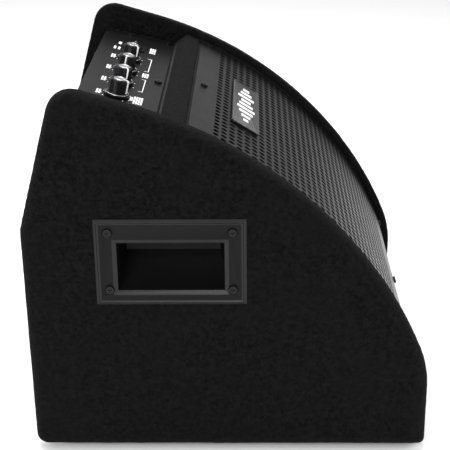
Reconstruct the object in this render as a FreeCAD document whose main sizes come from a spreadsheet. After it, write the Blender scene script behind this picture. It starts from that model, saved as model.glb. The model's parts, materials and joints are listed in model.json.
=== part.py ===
import FreeCAD, Part
import math
import os
import Sketcher
from FreeCAD import Placement, Rotation, Vector

# Stage monitor wedge. Millimetres, X towards the grille, Y across, Z up.
# Outlines are drawn in cabinet coordinates: x from the back of the side panels, z from their underside.

doc = FreeCAD.newDocument("stage_monitor_wedge")
sizes = doc.addObject("Spreadsheet::Sheet", "sizes")

DIMENSIONS = (
    ("depth", 402, "side panel, back to front"),
    ("width", 400, "over the carpet of both side panels"),
    ("kink_height", 240.5, "where the back starts to lean forwards"),
    ("rear_lean", 15.4, "degrees, lean of the upper back"),
    ("crown_slope", 17, "degrees, fall of the top edge above the control panel"),
    ("bow_radius", 447, "long curved front edge of the side panels"),
    ("bow_x", -19, "centre of that curve"),
    ("bow_z", -63.5, "centre of that curve"),
    ("toe_radius", 110, "lower front curve of the side panels"),
    ("crown_fillet", 25, "top back corner"),
    ("heel_fillet", 12, "bottom back corner"),
    ("kink_fillet", 30, "soft break in the back edge"),
    ("toe_fillet", 5, "bottom front corner"),
    ("edge_round", 9, "round-over of the outer edges, on the board"),
    ("foot_height", 5, "rubber feet"),
    ("foot_radius", 14, "rubber feet"),
    ("foot_inset_x", 46, "foot centre from the ends of the underside"),
    ("foot_inset_y", 52, "foot centre from the outer side faces"),
    ("foot_bore", 4.4, "hole for the foot screw"),
    ("board", 15, "plywood thickness"),
    ("carpet", 3, "pile carpet thickness"),
    ("front_inset", 10, "grille and rail below the curved edge"),
    ("rear_recess", 18, "back boards inside the back edge"),
    ("seam", 0.3, "gap between curved neighbours"),
    ("panel_height", 351, "back edge of the control panel"),
    ("panel_slope", 14, "degrees, fall of the control panel towards the front"),
    ("panel_depth", 83, "control panel, back to front"),
    ("panel_plate", 2, "control panel steel"),
    ("panel_gap", 1, "control panel and grille to the side lining"),
    ("rail_back_angle", 67.9, "degrees, back of the rail crest"),
    ("rail_front_angle", 65.5, "degrees, where the rail carpet ends"),
    ("grille_top_angle", 65.3, "degrees, upper edge of the grille"),
    ("grille_seat_angle", 62.4, "degrees, end of the upper grille seat"),
    ("grille_low_seat_angle", 25, "degrees, end of the lower grille seat"),
    ("grille_end_angle", 12, "degrees on the toe curve, lower edge of the grille"),
    ("toe_carpet_angle", 11.2, "degrees on the toe curve, end of the front carpet"),
    ("grille_sheet", 1.2, "perforated steel"),
    ("felt", 1.8, "felt strip under the grille edges"),
    ("rail_depth", 28, "rail below the curved edge"),
    ("baffle_tilt", 47.5, "degrees, baffle normal from vertical"),
    ("baffle_reach", 385, "baffle face from the centre of the bow"),
    ("baffle_up", 168, "baffle above its middle"),
    ("baffle_down", 159, "baffle below its middle"),
    ("woofer_drop", 28, "woofer centre below the middle of the baffle"),
    ("woofer_radius", 127, "basket flange"),
    ("woofer_cutout", 116, "hole in the baffle"),
    ("woofer_bolt_circle", 121.5, "radius of the bolt circle"),
    ("cone_radius", 98, "outer edge of the cone"),
    ("coil_radius", 19, "voice coil former"),
    ("coil_gap", 0.6, "air on each side of the voice coil"),
    ("cone_travel", 4, "each way"),
    ("magnet_radius", 60, "magnet ring"),
    ("horn_rise", 133, "horn centre above the middle of the baffle"),
    ("horn_width", 150, "horn flange"),
    ("horn_height", 52, "horn flange"),
    ("handle_x", 146, "grip centre from the back"),
    ("handle_z", 210.5, "grip centre from the underside"),
    ("handle_length", 147, "grip flange"),
    ("handle_height", 90, "grip flange"),
    ("handle_flange", 3, "grip flange over the carpet"),
    ("handle_wall", 2.5, "grip shell"),
    ("grip_length", 107, "opening of the grip"),
    ("grip_height", 52, "opening of the grip"),
    ("grip_drop", 5.5, "opening below the middle of the flange"),
    ("grip_depth", 46, "finger space"),
    ("handle_screw_x", 60, "half the screw spacing"),
    ("handle_screw_z", 30, "half the screw spacing"),
    ("handle_screw_rise", 1.5, "screws above the middle of the flange"),
    ("handle_screw_sink", 2.2, "screw seats under the face of the flange"),
    ("handle_seat_air", 0.6, "round the screw heads in their seats"),
    ("knob_row", 39, "knob centres from the back edge of the control panel"),
    ("knob_first", -78, "first knob from the middle"),
    ("knob_pitch", 47, "knob spacing"),
    ("knob_skirt", 13, "skirt radius"),
    ("knob_radius", 9.5, "grip radius"),
    ("knob_height", 18, "over the control panel"),
    ("shaft_radius", 3, "potentiometer shaft"),
    ("shaft_clearance", 0.05, "shaft in its bush"),
    ("bush_radius", 4.5, "threaded bush"),
    ("pot_drop", 9, "potentiometer body"),
    ("jack_first", -150, "first input jack from the middle"),
    ("jack_pitch", 30, "jack spacing"),
    ("jack_bore", 3.2, "radius of the plug hole"),
    ("jack_barrel", 5, "radius of the threaded barrel"),
    ("jack_depth", 32, "jack body under the panel"),
    ("rocker_y", 114, "power rocker from the middle"),
    ("rocker_length", 19, "opening for the power rocker"),
    ("rocker_width", 12.5, "opening for the power rocker"),
    ("rocker_swing", 12, "degrees, off to on"),
    ("lamp_y", 138, "power lamp from the middle"),
    ("lamp_radius", 2.5, "power lamp"),
    ("service_up", 56, "centre of the service plate above the break in the back"),
    ("service_length", 84, "service plate, up the slope"),
    ("service_width", 240, "service plate"),
    ("service_plate", 2, "service plate aluminium"),
    ("cap_screw", 2, "thread radius of the small screws"),
    ("cap_head", 4, "head radius of the small screws"),
    ("cap_height", 2.4, "head height of the small screws"),
    ("slot_length", 4.8, "cross slot in a screw head"),
    ("slot_width", 0.9, "cross slot in a screw head"),
    ("slot_depth", 1.3, "cross slot in a screw head"),
    ("grip_sill", 9, "flat sill of the grip before its floor rises"),
    ("grip_rise", 24, "rise of the grip floor to its back"),
    ("foot_recess", 2.2, "rubber between the foot screw head and the carpet"),
    ("panel_screw_back", 30, "back screws, from the back edge of the control panel"),
    ("panel_screw_front", 76.5, "front screws, from the back edge of the control panel"),
    ("panel_screw_y", 170, "side screws from the middle"),
    ("grille_screw_top", 63.9, "degrees, upper grille screws"),
    ("grille_screw_low", 17, "degrees on the toe curve, lower grille screws"),
    ("rail_ledge", 66, "rail board under the panel, from the back edge of the panel"),
    ("rail_lap", 7, "rail board over the face of the baffle"),
    ("front_board_rise", 130, "straight part of the lower front board, and twice the plywood"),
    ("cleat", 18, "square cleats in the corners"),
    ("badge_angle", 57.3, "degrees, middle of the badge on the curve"),
    ("badge_width", 152, "badge plate"),
    ("badge_height", 33, "badge plate"),
    ("badge_plate", 2.5, "badge plate"),
    ("badge_corner", 4, "badge plate corner radius"),
    ("bar_length", 20, "longest bar on the badge"),
    ("bar_width", 6, "bars on the badge"),
    ("bar_pitch", 13, "bars on the badge"),
    ("bar_rise", 0.8, "bars over the badge plate"),
    ("basket_sheet", 1.6, "basket flange"),
    ("basket_gap", 2, "basket inside the baffle hole"),
    ("basket_lip", 13, "straight wall of the basket"),
    ("basket_depth", 68, "basket below the baffle face"),
    ("basket_hub", 30, "hole in the basket floor"),
    ("surround_radius", 112, "outer edge of the surround"),
    ("spider_radius", 75, "outer edge of the spider"),
    ("spider_depth", 58, "spider seat below the baffle face"),
    ("spider_seat", 19, "width of the spider seat"),
    ("window_half", 24, "half width of the basket windows"),
    ("coil_wall", 0.8, "voice coil on its former"),
    ("front_plate", 6, "steel plates of the magnet"),
    ("magnet_height", 18, "magnet ring"),
    ("vent_radius", 6, "hole through the pole"),
    ("neck_depth", 50, "cone neck below the baffle face"),
    ("cone_edge_drop", 4, "cone edge below the baffle face"),
    ("cone_paper", 1.2, "cone, spider and surround thickness"),
    ("glue_gap", 0.1, "cone and coil to the surround and spider"),
    ("cap_radius", 26, "dust cap"),
    ("cap_rise", 9, "dust cap height"),
    ("gasket_gap", 0.5, "gasket inside the bolt heads"),
    ("gasket_height", 3, "gasket"),
    ("horn_plate", 3, "horn flange thickness"),
    ("horn_wall", 2, "horn wall"),
    ("horn_throat", 10, "half width of the horn throat"),
    ("horn_depth", 45, "horn below the baffle face"),
    ("horn_screw_x", 21, "horn screws from its middle"),
    ("horn_screw_y", 69, "horn screws from its middle"),
    ("driver_radius", 25, "tweeter driver"),
    ("driver_height", 28, "tweeter driver"),
    ("pot_radius", 8.5, "potentiometer body"),
    ("bush_height", 5, "bush over the panel"),
    ("shaft_depth", 8, "shaft end under the panel surface"),
    ("nut_radius", 6.4, "hexagon nut, corner radius"),
    ("nut_height", 2, "hexagon nuts"),
    ("knob_hollow", 7.6, "hollow over the nut"),
    ("flute_radius", 1.1, "grooves round the knobs"),
    ("circuit_gap", 1, "circuit board to the upper back board"),
    ("circuit_half", 20, "circuit board in front of the knob row"),
    ("circuit_side", 22, "circuit board past the end knobs"),
    ("circuit_sheet", 1.6, "circuit boards"),
    ("jack_half", 8, "half the jack body"),
    ("jack_rise", 4, "jack barrel over the panel"),
    ("jack_nut", 8, "jack nut, corner radius"),
    ("switch_wall", 1.2, "switch housing"),
    ("switch_depth", 16, "switch housing under the panel"),
    ("bezel_rise", 1.5, "switch rim over the panel"),
    ("pivot_depth", 3, "rocker pin under the panel surface"),
    ("pin_radius", 1, "rocker pin"),
    ("service_screw_x", 37, "service plate screws from its middle"),
    ("service_screw_y", 114, "service plate screws from its middle"),
    ("inlet_y", 66, "mains inlet from the middle"),
    ("inlet_half_x", 10.5, "half the inlet body"),
    ("inlet_half_y", 14.5, "half the inlet body"),
    ("fuse_y", 20, "fuse holder from the middle"),
    ("fuse_radius", 6.2, "fuse holder"),
    ("sink_y", -58, "heat sink from the middle"),
    ("sink_half", 46, "half the heat sink"),
    ("sink_height", 10, "heat sink over the plate"),
    ("sink_down", 36, "heat sink below the middle of the plate"),
    ("sink_up", 16, "heat sink above the middle of the plate"),
    ("sink_floor", 3, "metal under the heat sink slots"),
    ("sink_slot", 7, "width of the heat sink slots"),
    ("sink_pitch", 9, "heat sink slots"),
    ("power_depth", 38, "power board behind the carpet face"),
    ("power_y", -40, "power board from the middle"),
    ("power_half_x", 29, "half the power board"),
    ("power_half_y", 55, "half the power board"),
    ("coil_x", 112, "transformer from the back"),
    ("coil_y", 88, "transformer from the middle"),
    ("coil_bolt", 3, "transformer bolt"),
    ("ring_radius", 46, "transformer"),
    ("ring_height", 36, "transformer"),
    ("lead_radius", 1.5, "loudspeaker leads"),
    ("lead_bend", 12, "bend radius of the leads"),
    ("woofer_lead_y", -34, "woofer lead from the middle"),
    ("tweeter_lead_y", -8, "tweeter lead from the middle"),
)
for row, (alias, number, note) in enumerate(DIMENSIONS, start=1):
    sizes.set("A%d" % row, note)
    sizes.set("B%d" % row, str(number))
    sizes.setAlias("B%d" % row, alias)
doc.recompute()

PARTS = []
PLATE_SCREWS = []
WOOD_SCREWS = []
PLATE_SCREW = "14"
WOOD_SCREW = "18"


# ---- expressions -------------------------------------------------------------------------------

def sheet(alias):
    return "sizes." + alias


def number(expression):
    """The value an expression has now, as a plain number."""
    result = sizes.evalExpression(str(expression))
    return float(getattr(result, "Value", result))


def bind(item, prop, expression):
    item.setExpression(prop, str(expression))


def plus(*terms):
    return " + ".join("(%s)" % term for term in terms)


def minus(first, second):
    return "(%s) - (%s)" % (first, second)


def times(first, second):
    return "(%s) * (%s)" % (first, second)


def half(term):
    return "(%s) / 2" % term


def cosine(degrees):
    return "cos((%s) * 1 deg)" % degrees


def sine(degrees):
    return "sin((%s) * 1 deg)" % degrees


def tangent(degrees):
    return "tan((%s) * 1 deg)" % degrees


# ---- frames ------------------------------------------------------------------------------------

class Frame:
    """A local frame in cabinet coordinates, turned about Y. sign -1 turns it the other way."""

    def __init__(self, x, z, angle="0", sign=1):
        self.x, self.z, self.angle, self.sign = x, z, angle, sign

    def point(self, x, z):
        """A local point as cabinet x and z."""
        turn = "(%d)" % self.sign
        across = plus(self.x, times(x, cosine(self.angle)), times(turn, times(z, sine(self.angle))))
        up = plus(self.z, "-(%s)" % times(turn, times(x, sine(self.angle))), times(z, cosine(self.angle)))
        return across, up

    def place(self, item, x="0", y="0", z="0", spin=None):
        """Put an item at a local point. spin is an extra turn, applied in the local frame."""
        across, up = self.point(x, z)
        turn = Rotation(Vector(0, self.sign, 0), number(self.angle))
        item.Placement = Placement(Vector(), turn.multiply(spin) if spin else turn)
        bind(item, "Placement.Base.x", minus(across, half(sheet("depth"))))
        bind(item, "Placement.Base.y", y)
        bind(item, "Placement.Base.z", plus(up, sheet("foot_height")))
        if spin is None and number(self.angle) != 0:
            bind(item, "Placement.Rotation.Angle", "(%s) * 1 deg" % self.angle)
        return item


def rear_kink(inset):
    """Height of the break in the back, moved inwards by an inset."""
    return minus(sheet("kink_height"), times(inset, tangent(half(sheet("rear_lean")))))


def rear_point(inset, height):
    """A point of the leaning back at a height, moved inwards by an inset."""
    lean = times(minus(height, sheet("kink_height")), tangent(sheet("rear_lean")))
    return plus(lean, "(%s) / %s" % (inset, cosine(sheet("rear_lean")))), height


def bow_point(angle, inset):
    """A point of the long front curve at an angle, moved inwards by an inset."""
    reach = minus(sheet("bow_radius"), inset)
    return plus(sheet("bow_x"), times(reach, cosine(angle))), plus(sheet("bow_z"), times(reach, sine(angle)))


TOE_X = minus(sheet("depth"), sheet("toe_radius"))
TOE_RISE = "sqrt((sizes.bow_radius - sizes.toe_radius)^2 - (sizes.depth - sizes.toe_radius - sizes.bow_x)^2)"
TOE_Z = plus(sheet("bow_z"), TOE_RISE)
TOE_ANGLE = "atan2(%s; sizes.depth - sizes.toe_radius - sizes.bow_x) / 1 deg" % TOE_RISE


def toe_point(angle, inset):
    """A point of the lower front curve at an angle, moved inwards by an inset."""
    reach = minus(sheet("toe_radius"), inset)
    return plus(TOE_X, times(reach, cosine(angle))), plus(TOE_Z, times(reach, sine(angle)))


def bow_arc(inset):
    return ("arc", minus(sheet("bow_radius"), inset), sheet("bow_x"), sheet("bow_z"))


def toe_arc(inset):
    return ("arc", minus(sheet("toe_radius"), inset), TOE_X, TOE_Z)


ORIGIN = Frame(half(sheet("depth")), "-" + sheet("foot_height"))
CABINET = Frame("0", "0")
PANEL_X, PANEL_Z = rear_point(sheet("rear_recess"), sheet("panel_height"))
PANEL = Frame(PANEL_X, PANEL_Z, sheet("panel_slope"))
BAFFLE_X, BAFFLE_Z = (plus(sheet("bow_x"), times(sheet("baffle_reach"), sine(sheet("baffle_tilt")))),
                      plus(sheet("bow_z"), times(sheet("baffle_reach"), cosine(sheet("baffle_tilt")))))
BAFFLE = Frame(BAFFLE_X, BAFFLE_Z, sheet("baffle_tilt"))
WOOFER_X, WOOFER_Z = BAFFLE.point(sheet("woofer_drop"), "0")
WOOFER = Frame(WOOFER_X, WOOFER_Z, sheet("baffle_tilt"))
HORN_X, HORN_Z = BAFFLE.point("-" + sheet("horn_rise"), "0")
HORN = Frame(HORN_X, HORN_Z, sheet("baffle_tilt"))
SERVICE_HEIGHT = plus(sheet("kink_height"), sheet("service_up"))
SERVICE_X, SERVICE_Z = rear_point(sheet("rear_recess"), SERVICE_HEIGHT)
SERVICE = Frame(SERVICE_X, SERVICE_Z, minus("90", sheet("rear_lean")), -1)

HALF_INNER = minus(half(sheet("width")), plus(sheet("carpet"), sheet("board")))
HALF_LINED = minus(HALF_INNER, sheet("carpet"))
UNDER_GRILLE = plus(sheet("front_inset"), sheet("grille_sheet"), sheet("felt"))
BODY_SKIN = plus(sheet("front_inset"), sheet("carpet"))
BACK_SKIN = plus(sheet("rear_recess"), sheet("carpet"))


# ---- building blocks ---------------------------------------------------------------------------

def plane(body, role):
    return next(item for item in body.Origin.OriginFeatures if item.Role == role)


def add_arc(sketch, start, end, radius, centre):
    """Draw the short arc between two points. Returns which of its ends lies at the start and at the end."""
    first = math.atan2(start.y - centre.y, start.x - centre.x)
    last = math.atan2(end.y - centre.y, end.x - centre.x)
    forwards = math.remainder(last - first, 2 * math.pi) > 0
    low, high = (first, last) if forwards else (last, first)
    circle = Part.Circle(centre, Vector(0, 0, 1), number(radius))
    arc = sketch.addGeometry(Part.ArcOfCircle(circle, low, high))
    sketch.addConstraint(Sketcher.Constraint("Radius", arc, number(radius)))
    bind(sketch, "Constraints[%d]" % (sketch.ConstraintCount - 1), radius)
    return (1, 2) if forwards else (2, 1)


def add_outline(sketch, corners):
    """Draw a closed outline. A corner is (x, y), or (x, y, arc) where an arc runs to the next corner."""
    points = [Vector(number(corner[0]), number(corner[1]), 0) for corner in corners]
    ends = []
    for index, corner in enumerate(corners):
        start, end = points[index], points[(index + 1) % len(points)]
        if len(corner) == 3:
            radius, centre_x, centre_y = corner[2][1:]
            centre = Vector(number(centre_x), number(centre_y), 0)
            first, last = add_arc(sketch, start, end, radius, centre)
            ends.append((sketch.GeometryCount - 1, first, last))
        else:
            line = sketch.addGeometry(Part.LineSegment(start, end))
            ends.append((line, 1, 2))
    for index, (curve, first, last) in enumerate(ends):
        following = ends[(index + 1) % len(ends)]
        sketch.addConstraint(Sketcher.Constraint("Coincident", curve, last, following[0], following[1]))
        for kind, expression in (("DistanceX", corners[index][0]), ("DistanceY", corners[index][1])):
            sketch.addConstraint(Sketcher.Constraint(kind, -1, 1, curve, first, number(expression)))
            bind(sketch, "Constraints[%d]" % (sketch.ConstraintCount - 1), expression)


def new_body(label):
    body = doc.addObject("PartDesign::Body", label)
    body.Label = label
    return body


def new_sketch(body, role, shift="0"):
    sketch = body.newObject("Sketcher::SketchObject", body.Name + "_outline")
    sketch.AttachmentSupport = [(plane(body, role), "")]
    sketch.MapMode = "FlatFace"
    bind(sketch, "AttachmentOffset.Base.z", shift)
    return sketch


def extrude(label, corners, low, high, frame=CABINET, role="XZ_Plane"):
    """A body made from an outline, padded between two places on the axis across its plane."""
    body = new_body(label)
    backwards = role == "XZ_Plane"
    sketch = new_sketch(body, role, "-(%s)" % low if backwards else low)
    add_outline(sketch, corners)
    pad = body.newObject("PartDesign::Pad", label + "_pad")
    pad.Profile = sketch
    pad.Reversed = backwards
    bind(pad, "Length", minus(high, low))
    sketch.Visibility = False
    return frame.place(body)


def turn(label, corners, frame, x="0", y="0", z="0"):
    """A body of revolution about the local Z axis, from (radius, height) corners."""
    body = new_body(label)
    sketch = new_sketch(body, "XZ_Plane")
    add_outline(sketch, corners)
    spun = body.newObject("PartDesign::Revolution", label + "_turn")
    spun.Profile = sketch
    spun.ReferenceAxis = (sketch, ["V_Axis"])
    spun.Angle = 360
    sketch.Visibility = False
    return frame.place(body, x, y, z)


def dress(body, kind, size, pick):
    """Fillet or chamfer the edges of a body that pick accepts."""
    doc.recompute()
    base = body.Tip
    names = ["Edge%d" % (index + 1) for index, edge in enumerate(base.Shape.Edges) if pick(edge)]
    feature = body.newObject("PartDesign::" + kind, body.Name + "_" + kind.lower())
    feature.Base = (base, names)
    bind(feature, "Radius" if kind == "Fillet" else "Size", size)
    return body


def box(name, frame, low, high):
    """A block between two local corners."""
    block = doc.addObject("Part::Box", name)
    for prop, start, end in zip(("Length", "Width", "Height"), low, high):
        bind(block, prop, minus(end, start))
    return frame.place(block, *low)


def cylinder(name, frame, centre, radius, height, spin=None):
    rod = doc.addObject("Part::Cylinder", name)
    bind(rod, "Radius", radius)
    bind(rod, "Height", height)
    return frame.place(rod, *centre, spin=spin)


def joined(label, items):
    """Overlapping or touching shapes made into one solid."""
    fuse = doc.addObject("Part::MultiFuse", label)
    fuse.Label = label
    fuse.Shapes = items
    return fuse


def grouped(label, items):
    """Separate solids of one kind that share a node."""
    group = doc.addObject("Part::Compound", label)
    group.Label = label
    group.Links = items
    return group


def cut(label, base, tools):
    """A shape with holes or pockets taken out of it."""
    result = doc.addObject("Part::Cut", label)
    result.Label = label
    result.Base = base
    result.Tool = tools[0] if len(tools) == 1 else joined(label + "_tools", tools)
    return result


def keep(item):
    """Mark a finished sub-part. Its Label names its file."""
    PARTS.append(item)
    return item


UPSIDE_DOWN = Rotation(Vector(1, 0, 0), 180)


def side_y(side, distance):
    """A Y place at a distance from the middle, on the left (-1) or right (1)."""
    return "(%d) * (%s)" % (side, distance)


def side_span(side, inner, outer):
    return (side_y(side, outer), side_y(side, inner)) if side < 0 else (side_y(side, inner), side_y(side, outer))


# ---- screws ------------------------------------------------------------------------------------

def screw(name, frame, spot, length, spin=None):
    """A pan-head screw with a cross slot. spot is under its head, and it points down local Z."""
    head = cylinder(name + "_head", ORIGIN, ("0", "0", "0"), sheet("cap_head"), sheet("cap_height"))
    shank = cylinder(name + "_shank", ORIGIN, ("0", "0", "-(%s)" % length), sheet("cap_screw"), length)
    low = minus(sheet("cap_height"), sheet("slot_depth"))
    slots = []
    for arm, (wide, deep) in enumerate((("slot_length", "slot_width"), ("slot_width", "slot_length"))):
        across, along = half(sheet(wide)), half(sheet(deep))
        slots.append(box("%s_slot%d" % (name, arm), ORIGIN, ("-" + across, "-" + along, low),
                         (across, along, sheet("cap_height"))))
    return frame.place(cut(name, joined(name + "_blank", [head, shank]), slots), *spot, spin=spin)


def screws(label, frame, spots, length, spin=None):
    return [screw("%s_%d" % (label, index), frame, spot, length, spin) for index, spot in enumerate(spots)]


def pilots(name, frame, spots, length, spin=None):
    """The holes that screw shanks fill."""
    down = spin.multiply(UPSIDE_DOWN) if spin else UPSIDE_DOWN
    return [cylinder("%s_%d" % (name, index), frame, spot, sheet("cap_screw"), length, down)
            for index, spot in enumerate(spots)]


# ---- side panels -------------------------------------------------------------------------------

def wedge_corners(inset):
    """The side panel outline, moved inwards by an inset."""
    crown = minus("90", sheet("crown_slope"))
    fall = tangent(sheet("crown_slope"))
    lean = tangent(sheet("rear_lean"))
    brow_x, brow_z = bow_point(crown, inset)
    back_x, back_z = rear_point(inset, sheet("kink_height"))
    # the leaning back x = back_x + lean * (z - back_z) meets the crown z = brow_z + fall * (brow_x - x)
    rise = "((%s) + (%s) * ((%s) - (%s)) - (%s)) / (1 + (%s) * (%s))" % (
        brow_z, fall, brow_x, back_x, back_z, fall, lean)
    toe_top = toe_point(TOE_ANGLE, inset)
    return [
        (inset, inset),
        (inset, rear_kink(inset)),
        (plus(back_x, times(lean, rise)), plus(back_z, rise)),
        (brow_x, brow_z, bow_arc(inset)),
        (*toe_top, toe_arc(inset)),
        toe_point("0", inset),
        (minus(sheet("depth"), inset), inset),
    ]


def wedge(label, side, inset, inner, outer, round_over=None):
    """A slab with the side panel outline, its corners rounded, and its outer edge rounded over if asked."""
    corners = wedge_corners(inset)
    low, high = side_span(side, inner, outer)
    body = extrude(label, corners, low, high)
    rounds = ((0, "heel_fillet"), (1, "kink_fillet"), (2, "crown_fillet"), (6, "toe_fillet"))
    for index, alias in rounds:
        spot = Vector(number(corners[index][0]), 0, number(corners[index][1]))
        size = sheet(alias) if alias == "toe_fillet" else minus(sheet(alias), inset)
        dress(body, "Fillet", size, lambda edge: runs_across(edge, spot))
    if round_over:
        face = number(side_y(side, outer))
        dress(body, "Fillet", round_over, lambda edge: lies_in(edge, face))
    return body


def runs_across(edge, spot):
    """True for an edge along Y that passes through a spot."""
    return all(math.hypot(end.X - spot.x, end.Z - spot.z) < 0.01 for end in edge.Vertexes)


def lies_in(edge, level):
    """True for an edge that lies in the plane Y = level."""
    return abs(edge.BoundBox.YMin - level) < 0.01 and abs(edge.BoundBox.YMax - level) < 0.01


def core_corners(gap):
    """The outline of everything between the side panels, moved outwards by a gap along the curves."""
    inset = minus(sheet("front_inset"), gap)
    below = "-" + sheet("foot_height")
    return [
        (sheet("rear_recess"), below),
        (sheet("rear_recess"), rear_kink(sheet("rear_recess"))),
        PANEL.point("0", "0"),
        PANEL.point(sheet("panel_depth"), "0"),
        (*bow_point(sheet("rail_back_angle"), inset), bow_arc(inset)),
        (*toe_point(TOE_ANGLE, inset), toe_arc(inset)),
        toe_point("0", inset),
        (minus(sheet("depth"), inset), below),
    ]


HANDLE = Frame(sheet("handle_x"), sheet("handle_z"))
HANDLE_SPOTS = [(x, z) for x in ("-sizes.handle_screw_x", "sizes.handle_screw_x")
                for z in (minus(sheet("handle_screw_rise"), sheet("handle_screw_z")),
                          plus(sheet("handle_screw_rise"), sheet("handle_screw_z")))]
GRIP_LOW = minus("-" + sheet("grip_drop"), half(sheet("grip_height")))
GRIP_TOP = plus(GRIP_LOW, sheet("grip_height"))


def handle_bore(name, side):
    """The opening that the grip shell passes through, with a little air round it."""
    margin = plus(sheet("handle_wall"), sheet("panel_gap"))
    low, high = side_span(side, minus(HALF_LINED, "1"), plus(half(sheet("width")), "1"))
    reach = plus(half(sheet("grip_length")), margin)
    return box(name, HANDLE, ("-(%s)" % reach, low, minus(GRIP_LOW, margin)),
               (reach, high, plus(GRIP_TOP, margin)))


def side_panel(name, side):
    """Board, carpet, grip and grip screws of one side. The carpet wraps over the edges to the inside."""
    outer = half(sheet("width"))
    board_face = minus(outer, sheet("carpet"))
    spin = Rotation(Vector(1, 0, 0), -90 * side)
    seat = side_y(side, minus(plus(outer, sheet("handle_flange")), sheet("handle_screw_sink")))
    spots = [(x, seat, z) for x, z in HANDLE_SPOTS]
    length = WOOD_SCREW

    blank = wedge(name + "_board_blank", side, sheet("carpet"), HALF_INNER, board_face, sheet("edge_round"))
    tools = pilots(name + "_board_pilot", HANDLE, spots, length, spin)
    board = cut(name + "_side_board", blank, [handle_bore(name + "_board_bore", side)] + tools)
    keep(board)

    skin = wedge(name + "_skin_blank", side, "0", HALF_INNER, outer, plus(sheet("edge_round"), sheet("carpet")))
    hollow = wedge(name + "_skin_hollow", side, sheet("carpet"), minus(HALF_INNER, "1"), board_face,
                   sheet("edge_round"))
    tools = pilots(name + "_skin_pilot", HANDLE, spots, length, spin)
    cover = cut(name + "_skin", skin, [hollow, handle_bore(name + "_skin_bore", side)] + tools)

    band = wedge(name + "_lining_blank", side, "0", HALF_LINED, HALF_INNER)
    low, high = side_span(side, minus(HALF_LINED, "1"), plus(HALF_INNER, "1"))
    core = extrude(name + "_lining_core", core_corners(sheet("seam")), low, high)
    keep(joined(name + "_side_carpet", [cover, cut(name + "_lining", band, [core])]))

    handle(name, side, spots, length, spin)
    WOOD_SCREWS.extend(screws(name + "_grip_screw", HANDLE, spots, length, spin))


def handle(name, side, spots, length, spin):
    """A recessed grip: a bevelled flange on the carpet, and a scoop that goes through the panel."""
    outer = half(sheet("width"))
    flange_x, flange_z = half(sheet("handle_length")), half(sheet("handle_height"))
    low, high = side_span(side, outer, plus(outer, sheet("handle_flange")))
    corners = [("-" + flange_x, "-" + flange_z), (flange_x, "-" + flange_z),
               (flange_x, flange_z), ("-" + flange_x, flange_z)]
    flange = extrude(name + "_grip_flange", corners, low, high, HANDLE)
    face = number(side_y(side, plus(outer, sheet("handle_flange"))))
    dress(flange, "Chamfer", minus(sheet("handle_flange"), "0.5"), lambda edge: lies_in(edge, face))

    wall = sheet("handle_wall")
    back = minus(outer, sheet("grip_depth"))
    reach = half(sheet("grip_length"))

    def scoop(label, grow, mouth, sill):
        section = [(side_y(side, mouth), minus(GRIP_LOW, grow)),
                   (side_y(side, minus(outer, sill)), minus(GRIP_LOW, grow)),
                   (side_y(side, minus(back, grow)), minus(plus(GRIP_LOW, sheet("grip_rise")), grow)),
                   (side_y(side, minus(back, grow)), plus(GRIP_TOP, grow)),
                   (side_y(side, mouth), plus(GRIP_TOP, grow))]
        ends = plus(reach, grow)
        return extrude(label, section, "-(%s)" % ends, ends, HANDLE, "YZ_Plane")

    shell = scoop(name + "_grip_shell", wall, outer, sheet("grip_sill"))
    hollow = scoop(name + "_grip_hollow", "0", plus(outer, "10"), sheet("grip_sill"))
    tools = pilots(name + "_grip_pilot", HANDLE, spots, length, spin)
    tools += [cylinder("%s_grip_seat%d" % (name, index), HANDLE, spot,
                       plus(sheet("cap_head"), sheet("handle_seat_air")), sheet("handle_flange"), spin)
              for index, spot in enumerate(spots)]
    keep(cut(name + "_handle", joined(name + "_grip_blank", [flange, shell]), [hollow] + tools))


# ---- boards and carpet between the side panels ---------------------------------------------------

def across(label, corners, reach=HALF_INNER):
    """A piece with one cross section, running from side to side."""
    return extrude(label, corners, "-(%s)" % reach, reach)


FOOT_SPOTS = [(x, y, "-" + sheet("foot_recess"))
              for x in (sheet("foot_inset_x"), minus(sheet("depth"), sheet("foot_inset_x")))
              for y in (minus(sheet("foot_inset_y"), half(sheet("width"))),
                        minus(half(sheet("width")), sheet("foot_inset_y")))]
PANEL_SPOTS = [(x, y, "0") for x, y in (
    (sheet("panel_screw_back"), "-sizes.panel_screw_y"), (sheet("panel_screw_back"), sheet("panel_screw_y")),
    (sheet("panel_screw_front"), "-sizes.panel_screw_y"), (sheet("panel_screw_front"), sheet("panel_screw_y")),
    (sheet("panel_screw_front"), "0"))]


def grille_spots():
    """Grille screws as frames on its surface: three along each edge."""
    upper_x, upper_z = bow_point(sheet("grille_screw_top"), sheet("front_inset"))
    lower_x, lower_z = toe_point(sheet("grille_screw_low"), sheet("front_inset"))
    upper = Frame(upper_x, upper_z, minus("90", sheet("grille_screw_top")))
    lower = Frame(lower_x, lower_z, minus("90", sheet("grille_screw_low")))
    places = ("-sizes.panel_screw_y", "0", sheet("panel_screw_y"))
    return [(frame, (("0", y, "0"),)) for frame in (upper, lower) for y in places]


GRILLE_SPOTS = grille_spots()


def grille_pilots(name):
    return [hole for index, (frame, spot) in enumerate(GRILLE_SPOTS)
            for hole in pilots("%s_%d" % (name, index), frame, spot, PLATE_SCREW)]


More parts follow.
